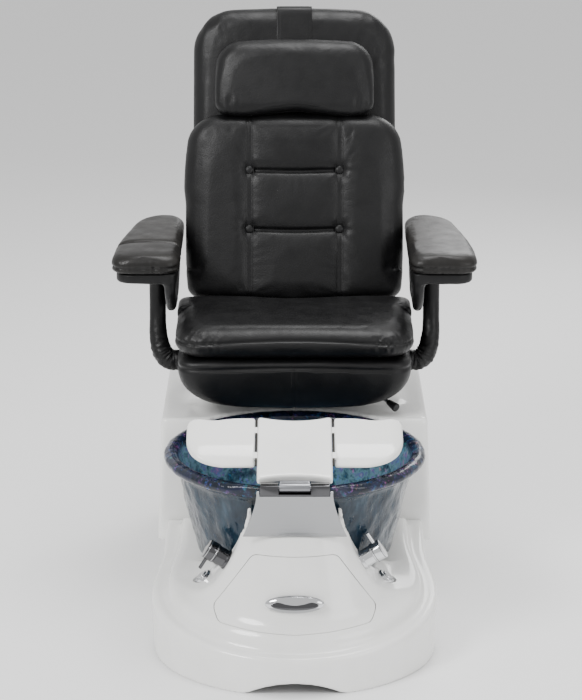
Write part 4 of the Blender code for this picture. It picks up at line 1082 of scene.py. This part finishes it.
def make_back_cushion():
    """The back cushion: two sewn channels, two pulled rows between them, and a button at each crossing."""
    low, high = local_box("back_cushion", BACK)
    centre, half = (low + high) / 2, (high - low) / 2

    def field(x, y, z):
        share = np.clip(x / half.x, -1, 1)
        beside_arms = 0.0045 * np.clip((0.04 - z) / 0.04, 0, 1)
        wide = half.x + 0.0145 - beside_arms - 0.011 * (np.maximum(z - 0.03, 0) / 0.14) ** 2
        wide = wide - 0.010 * (np.maximum(-0.1 - z, 0) / 0.15) ** 2
        drop = (0.010 + 0.006 * np.cos(share * pi / 2)) * (z < 0)
        outline = panel_outline(x, z - 0.004 * np.cos(share * pi / 2) * (z > 0), wide, half.z + drop, 0.068,
                                0.026)
        crown = 0.012 * share ** 4 - 0.004
        return slab(outline, np.abs(y - crown * (y < 0)) - half.y,
                    np.where(z > -half.z + 0.06, 0.042, 0.024))

    def on_channel(x):
        return np.abs(np.abs(x) - CHANNEL_X)

    def on_row(x, z):
        gap = np.minimum.reduce([np.abs(z - (b - centre.z) + 0.004 * np.cos(x / CHANNEL_X * pi / 2))
                                 for b in BUTTON_HEIGHTS])
        return np.where(np.abs(x) < CHANNEL_X, gap, np.hypot(gap, np.abs(x) - CHANNEL_X))

    mesh = mould(field, -half, half, 0.0058)
    mesh = swell(mesh, 4.0, 0.006,
                 lambda x, y, z: (y > half.y - 0.012)
                 | ((y < 0) & ((on_channel(x) < 0.006) | (on_row(x, z) < 0.004))), 0.002)
    mesh = finer(mesh)

    def depth(x, y, z):
        front = np.clip(-y / 0.02, 0, 1)
        lines = groove(on_channel(x) - 0.0048, 0.0018)
        channel = 0.0018 * lines + 0.0024 * groove(on_channel(x), 0.014)
        row = 0.0070 * groove(on_row(x, z), 0.0042) + 0.0040 * groove(on_row(x, z), 0.014)
        total = channel + row
        for height in BUTTON_HEIGHTS:
            up, across = z - (height - centre.z), np.abs(x) - CHANNEL_X
            away = np.hypot(across, up)
            folds = np.cos(7 * np.arctan2(up, across) + 1.0) * np.exp(-((away - 0.026) / 0.011) ** 2)
            total = total + 0.0050 * groove(away, 0.018) + 0.0005 * folds
        return front * total + 0.0006 * puckers(x, y, z, 5.0, 24.0)
    mesh = carve(mesh, depth)
    mesh.transform(BACK @ Matrix.Translation(centre))
    made = piece("back_cushion_cover", mesh, "back", LEATHER, ("back_cushion",))

    for side, name in ((-1, "left"), (1, "right")):
        for edge, offset in (("inner", -0.0048), ("outer", 0.0048)):
            points = [BACK @ (centre + Vector((side * (CHANNEL_X + offset), -half.y - 0.01, z)))
                      for z in np.linspace(-half.z + 0.012, half.z - 0.012, 120)]
            seam_line(mesh, points, 0.0006, "back", f"back_channel_{name}_{edge}", THREAD)

    tree = BVHTree.FromPolygons([v.co for v in mesh.vertices], [tuple(p.vertices) for p in mesh.polygons])
    normal = (BACK.to_3x3() @ Vector((0, -1, 0))).normalized()
    turn = normal.to_track_quat("Z", "Y").to_matrix().to_4x4()
    for row, height in enumerate(BUTTON_HEIGHTS):
        for side, name in ((-1, "left"), (1, "right")):
            spot = tree.ray_cast(BACK @ Vector((side * CHANNEL_X, low.y - 0.03, height)), -normal)[0]
            profile = [(0, 0.0076), (0.0045, 0.0073), (0.009, 0.0058), (0.0118, 0.0032), (0.0127, 0.0004),
                       (0.0122, -0.0030), (0, -0.0035)]
            button = finer(turned(profile, Matrix.Translation(spot + normal * 0.0045) @ turn, 28))
            node = f"button_{('low', 'high')[row]}_{name}"
            piece(f"{node}_cover", button, "back", LEATHER, (node,))


def make_back_pad():
    """The long back pad, with wide round upper corners, and the moulded shell behind it."""
    low, high = local_box("back_pad", BACK)
    centre, half = (low + high) / 2, (high - low) / 2
    seam_y = 0.016

    def field(x, y, z):
        wide = half.x + 0.003 - 0.003 * np.clip(z / half.z, 0, 1)
        arch = 0.009 * (x / half.x) ** 2 * (z > 0)
        outline = panel_outline(x, z + arch, wide, half.z + 0.002, 0.100, 0.030)
        fall = 0.010 * np.clip(np.abs(x) / half.x, 0, 1) ** 4
        return slab(outline, np.abs(y - fall * (y < 0)) - half.y, 0.038)

    mesh = mould(field, -half, half, 0.0072)
    mesh = swell(mesh, 3.0, 0.002, lambda x, y, z: (y > half.y - 0.014) | (np.abs(y - seam_y) < 0.003),
                 0.002)
    mesh = finer(mesh)

    def depth(x, y, z):
        edge = groove(y - seam_y, 0.0045) * 0.0035
        corner = np.exp(-(((np.abs(x) - half.x * 0.80) / 0.060) ** 2 + ((z - half.z + 0.045) / 0.055) ** 2))
        flank = np.exp(-((z - half.z + 0.120) / 0.030) ** 2) * (x > half.x * 0.8)
        creases = 0.0026 * (corner + flank) * puckers(x * 1.3, y, z * 2.2, 12.0, 34.0)
        return edge + creases + 0.0006 * puckers(x, y, z, 1.0, 16.0)
    mesh = carve(mesh, depth)
    mesh.transform(BACK @ Matrix.Translation(centre))
    made = piece("back_pad_cover", mesh, "back", LEATHER, ("back_pad",))
    ring = round_path(half.x, half.z, 0.08, 340)
    path = [BACK @ (centre + Vector((p.x, seam_y, p.y))) for p in ring]
    seam_line(mesh, path, 0.0012, "back", "back_pad_seam", THREAD, closed=True)
    make_back_shell()


def make_back_shell():
    """The black moulded shell on the rear of the back, slightly domed, with a groove set in from its edge."""
    low, high = local_box("back_shell", BACK)
    centre, half = (low + high) / 2, (high - low) / 2

    def field(x, y, z):
        outline = panel_outline(x, z, half.x - 0.001, half.z, 0.070, 0.050)
        dome = 0.005 * (1 - np.clip(x / half.x, -1, 1) ** 2)
        body = slab(outline, np.abs(y + 0.0030 - dome * (y > 0)) - half.y + 0.0030, 0.008)
        line = np.maximum(np.abs(outline + 0.032) - 0.0022, half.y - 0.0105 - y)
        return soft_max(body, -line, 0.002)
    mesh = mould(field, -half, half, 0.0045)
    mesh.transform(BACK @ Matrix.Translation(centre))
    piece("back_shell_moulding", mesh, "back", PLASTIC, ("back_shell",))


def make_pillow():
    """The head pillow, with a scalloped and piped lower edge and gathered lower corners."""
    low, high = local_box("headrest_pillow", BACK)
    centre, half = (low + high) / 2, (high - low) / 2
    seam_y = 0.010

    def field(x, y, z):
        share = np.clip(x / half.x, -1, 1)
        arch = 0.010 * share ** 2 * (z > 0)
        scallop = (0.013 * np.cos(share * pi / 1.3) ** 2 - 0.007) * np.clip(-z / 0.05, 0, 1)
        wide = half.x + 0.001 - 0.005 * np.clip(z / half.z, 0, 1)
        outline = panel_outline(x, z + arch - scallop, wide, half.z + 0.001, 0.056, 0.030)
        belly = 0.008 * (1 - share ** 2) - 0.002
        return slab(outline, np.abs(y + belly * (y < 0)) - half.y, 0.029 + 0.009 * np.tanh(z / 0.03))

    mesh = mould(field, -half, half, 0.0055)
    mesh = swell(mesh, 3.0, 0.003, lambda x, y, z: (y > half.y - 0.012) | (np.abs(y - seam_y) < 0.003),
                 0.003)
    mesh = finer(mesh)

    def depth(x, y, z):
        corner = np.exp(-((np.abs(x) - half.x
                           + 0.028) / 0.026) ** 2) * np.exp(-((z + half.z - 0.020) / 0.024) ** 2)
        return (0.0030 * groove(y - seam_y, 0.0042) + 0.0042 * corner * puckers(x, y, z, 21.0, 60.0)
                + 0.0007 * puckers(x, y, z, 2.0, 18.0))
    mesh = carve(mesh, depth)
    mesh.transform(BACK @ Matrix.Translation(centre))
    made = piece("headrest_pillow_cover", mesh, "pillow", LEATHER, ("headrest_pillow",))
    ring = round_path(half.x, half.z, 0.05, 260)
    path = [BACK @ (centre + Vector((p.x, -0.012 if p.y < -half.z + 0.02 else seam_y, p.y))) for p in ring]
    seam_line(mesh, path, 0.0013, "pillow", "headrest_pillow_piping", LEATHER, closed=True, sink=0.0002)


def make_strap():
    """The flat strap over the top of the back, sewn near each edge, and its counterweight pouch."""
    low, high = local_box("headrest_strap", BACK)
    half = high.x - 0.0005
    thick = 0.0030
    front, back, top = low.y + 0.002, high.y - 0.002, high.z - 0.002
    line = [(front, low.z + 0.045), (front, top - 0.05), (front, top - 0.014), (front + 0.006, top - 0.003),
            (front + 0.016, top),
            ((front + back) / 2, top + 0.0005), (back - 0.016, top), (back - 0.006, top - 0.003),
            (back, top - 0.014),
            (back, top - 0.08), (back, low.z + 0.002)]
    path = smooth_path([(0, y, z) for y, z in line], 90)
    rings = []
    for i, point in enumerate(path):
        along = (path[min(i + 1, 89)] - path[max(i - 1, 0)]).normalized()
        out = Vector((1, 0, 0)).cross(along)
        section = [(-half, -0.4), (-half, 0.4), (-half + 0.002, 0.5)]
        section += [(x, 0.5 + 0.16 * (abs(abs(x) - half + 0.006) > 0.0012))
                    for x in np.linspace(-half + 0.004, half - 0.004, 40)]
        section += [(half - 0.002, 0.5), (half, 0.4), (half, -0.4), (0, -0.5)]
        rings.append([BACK @ (point + Vector((x, 0, 0)) + out * h * thick) for x, h in section])
    made = piece("headrest_strap_band", loft(rings), "back", LEATHER, ("headrest_strap",))
    made.data.set_sharp_from_angle(angle=radians(50))

    low, high = local_box("strap_weight", BACK)
    centre, half = (low + high) / 2, (high - low) / 2

    def field(x, y, z):
        belly = 0.0025 * (1 - np.clip((x / half.x) ** 2 + (z / half.z) ** 2, 0, 1))
        return soft_max(soft_max(np.abs(x) - half.x, np.abs(z) - half.z, 0.020),
                        np.abs(y) - half.y + 0.0025 - belly, 0.012)
    mesh = finer(mould(field, -half, half, 0.004))
    mesh = carve(mesh, lambda x, y, z: 0.0012
                 * groove(np.maximum(np.abs(x) - half.x, np.abs(z) - half.z) + 0.008, 0.0016))
    mesh.transform(BACK @ Matrix.Translation(centre))
    made = piece("counterweight_pouch", mesh, "counterweight", LEATHER, ("strap_weight",))


# ---------------------------------------------------------------- armrests

def arm_outline(x, y, side):
    """Distance from an arm pad's outline, seen from above: it draws in at the outer rear."""
    x = x * side
    inner = 0.2755 + 0.005 * y / 0.46 - x
    outer = x - 0.4395 + 0.17 * 0.04 * np.log1p(np.exp((y - 0.16) / 0.04))
    flat = soft_max(soft_max(inner, outer, 0.01), -0.002 - y, 0.046)
    flat = soft_max(flat, y - 0.4640, 0.055)
    return soft_max(flat, (outer + y - 0.464) * 0.7071 + 0.030, 0.040)


def make_arms():
    for side, name in ((-1, "left"), (1, "right")):
        make_arm_pad(side, name)
        make_arm_body(side, name)


def make_arm_pad(side, name):
    """A padded arm top with a side seam. The left one is split, and its front part is a lid."""
    low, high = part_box(f"arm_pad_{name}")
    split = JOINTS["arm_lid_open"]["pos_m"][1]
    seam_z = low.z + 0.015

    def pad(x, y, z, cut):
        crown = 0.006 * ((x * side - 0.356) / 0.082) ** 2 + 0.009 * np.clip((0.040 - y) / 0.045, 0, 1) ** 2
        outline = arm_outline(x, y, side)
        if cut is not None:
            outline = soft_max(outline, cut(y), 0.012)
        middle, thick = (low.z + high.z) / 2, (high.z - low.z) / 2
        return slab(outline, np.maximum(z - high.z - 0.001 + crown, low.z - z),
                    np.where(z > middle, 0.6, 0.4) * thick * 1.2)

    parts = [("arm_pad_right", "arm_right", None)] if side > 0 else [
        ("arm_pad_left", "arm_left", lambda y: split + 0.0018 - y),
        ("arm_lid", "lid", lambda y: y - split + 0.0018)]
    for node, rides_on, cut in parts:
        mesh = mould(lambda x, y, z: pad(x, y, z, cut), (min(side * 0.272, side * 0.440), 0.0, low.z),
                     (max(side * 0.272, side * 0.440), 0.465, high.z), 0.0050)
        mesh = swell(mesh, 3.0, 0.0025, lambda x, y, z: (z < low.z + 0.012) | (np.abs(z - seam_z) < 0.003),
                     0.01)
        mesh = finer(mesh)

        def depth(x, y, z):
            gathers = groove(y, 0.06) * groove(z - seam_z, 0.012) * puckers(x, y, z * 0.4, 4.0, 110.0)
            creases = 0.0028 * groove(z - seam_z, 0.0036) + 0.0018 * gathers
            return creases + 0.0006 * puckers(x, y, z, 4.0, 26.0)
        mesh = carve(mesh, depth)
        made = piece(f"{node}_cover", mesh, rides_on, ARM_LEATHER_DUST_AND_SHEEN, (node,))
        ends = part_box(node)
        size, middle = (ends[1] - ends[0]) / 2, (ends[0] + ends[1]) / 2
        middle.z = seam_z
        ring = [p + middle for p in round_path(size.x, size.y, 0.045, 200)]
        seam_line(mesh, ring, 0.0009, rides_on, f"{node}_seam", THREAD, closed=True)


def make_arm_body(side, name):
    """Under a pad: a covered tray whose side panel hangs like a tongue, and a tube in a gathered sleeve."""
    body = f"arm_{name}"
    low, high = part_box(f"arm_body_{name}")
    tray_z = high.z - 0.0255

    def under(x, y, z):
        tray = arm_outline(x, y, side) + 0.010
        tray = soft_max(tray, y - 0.372, 0.030)
        tray = slab(tray, np.maximum(z - high.z, tray_z - z), 0.006)
        x = x * side
        drop = np.clip((tray_z - z) / (tray_z - low.z), 0, 1)
        ends = np.maximum(0.012 + 0.030 * drop ** 2 - y, y - 0.330 + 0.060 * drop ** 2)
        tongue = soft_max(low.z - z, ends, 0.070)
        tongue = slab(tongue, np.abs(x - 0.2995) - 0.0130 + 0.0015 * drop, 0.011)
        tongue = np.maximum(tongue, z - high.z + 0.002)
        return soft_min(tray, tongue, 0.014)
    mesh = finer(mould(under, (min(side * 0.27, side * 0.43), low.y, low.z),
                       (max(side * 0.27, side * 0.43), high.y, high.z), 0.0055))
    mesh = carve(mesh, lambda x, y, z: 0.0011 * puckers(x, y, z, 6.0, 30.0))
    made = piece(f"arm_skirt_{name}", mesh, body, LEATHER, (f"arm_body_{name}",))

    pivot = Vector(JOINTS[f"arm_{name}_tilt"]["pos_m"])
    line = [(side * 0.338, 0.188, tray_z - 0.0012), (side * 0.338, 0.188, 0.750),
            (side * 0.338, 0.187, 0.700),
            (side * 0.338, 0.180, 0.655), (side * 0.337, 0.168, 0.615), (side * 0.331, 0.157, 0.582),
            (side * 0.321, 0.151, 0.562),
            (side * 0.307, pivot.y, 0.5515), (side * 0.2862, pivot.y, pivot.z)]
    path = smooth_path(line, 130)

    def sleeve(share, angle):
        folds = noise.noise(Vector((share * 30, cos(angle) * 1.4, sin(angle) * 1.4 + side)))
        bend = min(max((share - 0.40) / 0.30, 0), 1)
        return 0.0205 + 0.0050 * bend + (0.0003 + 0.0026 * bend) * folds
    made = piece(f"arm_sleeve_{name}", finer(pipe(path, sleeve, 28)), body, LEATHER, (f"arm_tube_{name}",))


# ---------------------------------------------------------------- studio

def make_studio():
    floor = bpy.data.objects.new("floor", bpy.data.meshes.new("floor"))
    size = 12.0
    floor.data.from_pydata([(-size, -size, 0), (size, -size, 0), (size, size, 0), (-size, size, 0)], [],
                           [(0, 1, 2, 3)])
    SCENE.collection.objects.link(floor)
    paint, tree, shader = start("studio_floor_paint", "#f4f4f4", 0.6)
    floor.data.materials.append(paint)

    world = bpy.data.worlds.new("studio")
    SCENE.world = world
    world.use_nodes = True
    sky = world.node_tree.nodes["Background"]
    sky.inputs["Color"].default_value = (1, 1, 1, 1)
    sky.inputs["Strength"].default_value = 0.88

    for name, place, aim, size, power in (
            ("key_light", (-2.4, -2.6, 3.4), (0, 0, 0.5), 1.6, 130),
            ("fill_light", (2.8, -2.6, 1.8), (0, 0, 0.4), 2.0, 32),
            ("top_light", (0.3, 0.2, 3.6), (0, -0.1, 0.4), 1.8, 80),
            ("back_light", (1.2, 3.2, 2.6), (0, 0, 0.8), 2.0, 50)):
        lamp = bpy.data.lights.new(name, "AREA")
        lamp.shape = "DISK"
        lamp.size = size
        lamp.energy = power
        made = bpy.data.objects.new(name, lamp)
        made.location = place
        made.rotation_euler = (Vector(aim) - Vector(place)).to_track_quat("-Z", "Y").to_euler()
        SCENE.collection.objects.link(made)

    lens = bpy.data.cameras.new("camera")
    lens.lens = 130.97
    lens.sensor_width = 36
    camera = bpy.data.objects.new("camera", lens)
    camera.location = (-0.0085, -5.905, 2.30)
    camera.rotation_euler = (radians(90 - 15.9), 0, 0)
    SCENE.collection.objects.link(camera)
    SCENE.camera = camera


make_studio()
make_base()
make_cabinet()
make_bowl()
dress_fittings()
make_footrest()
make_handle()
make_knob_rings()
make_seat()
make_tub()
make_back_cushion()
make_back_pad()
make_pillow()
make_strap()
make_arms()
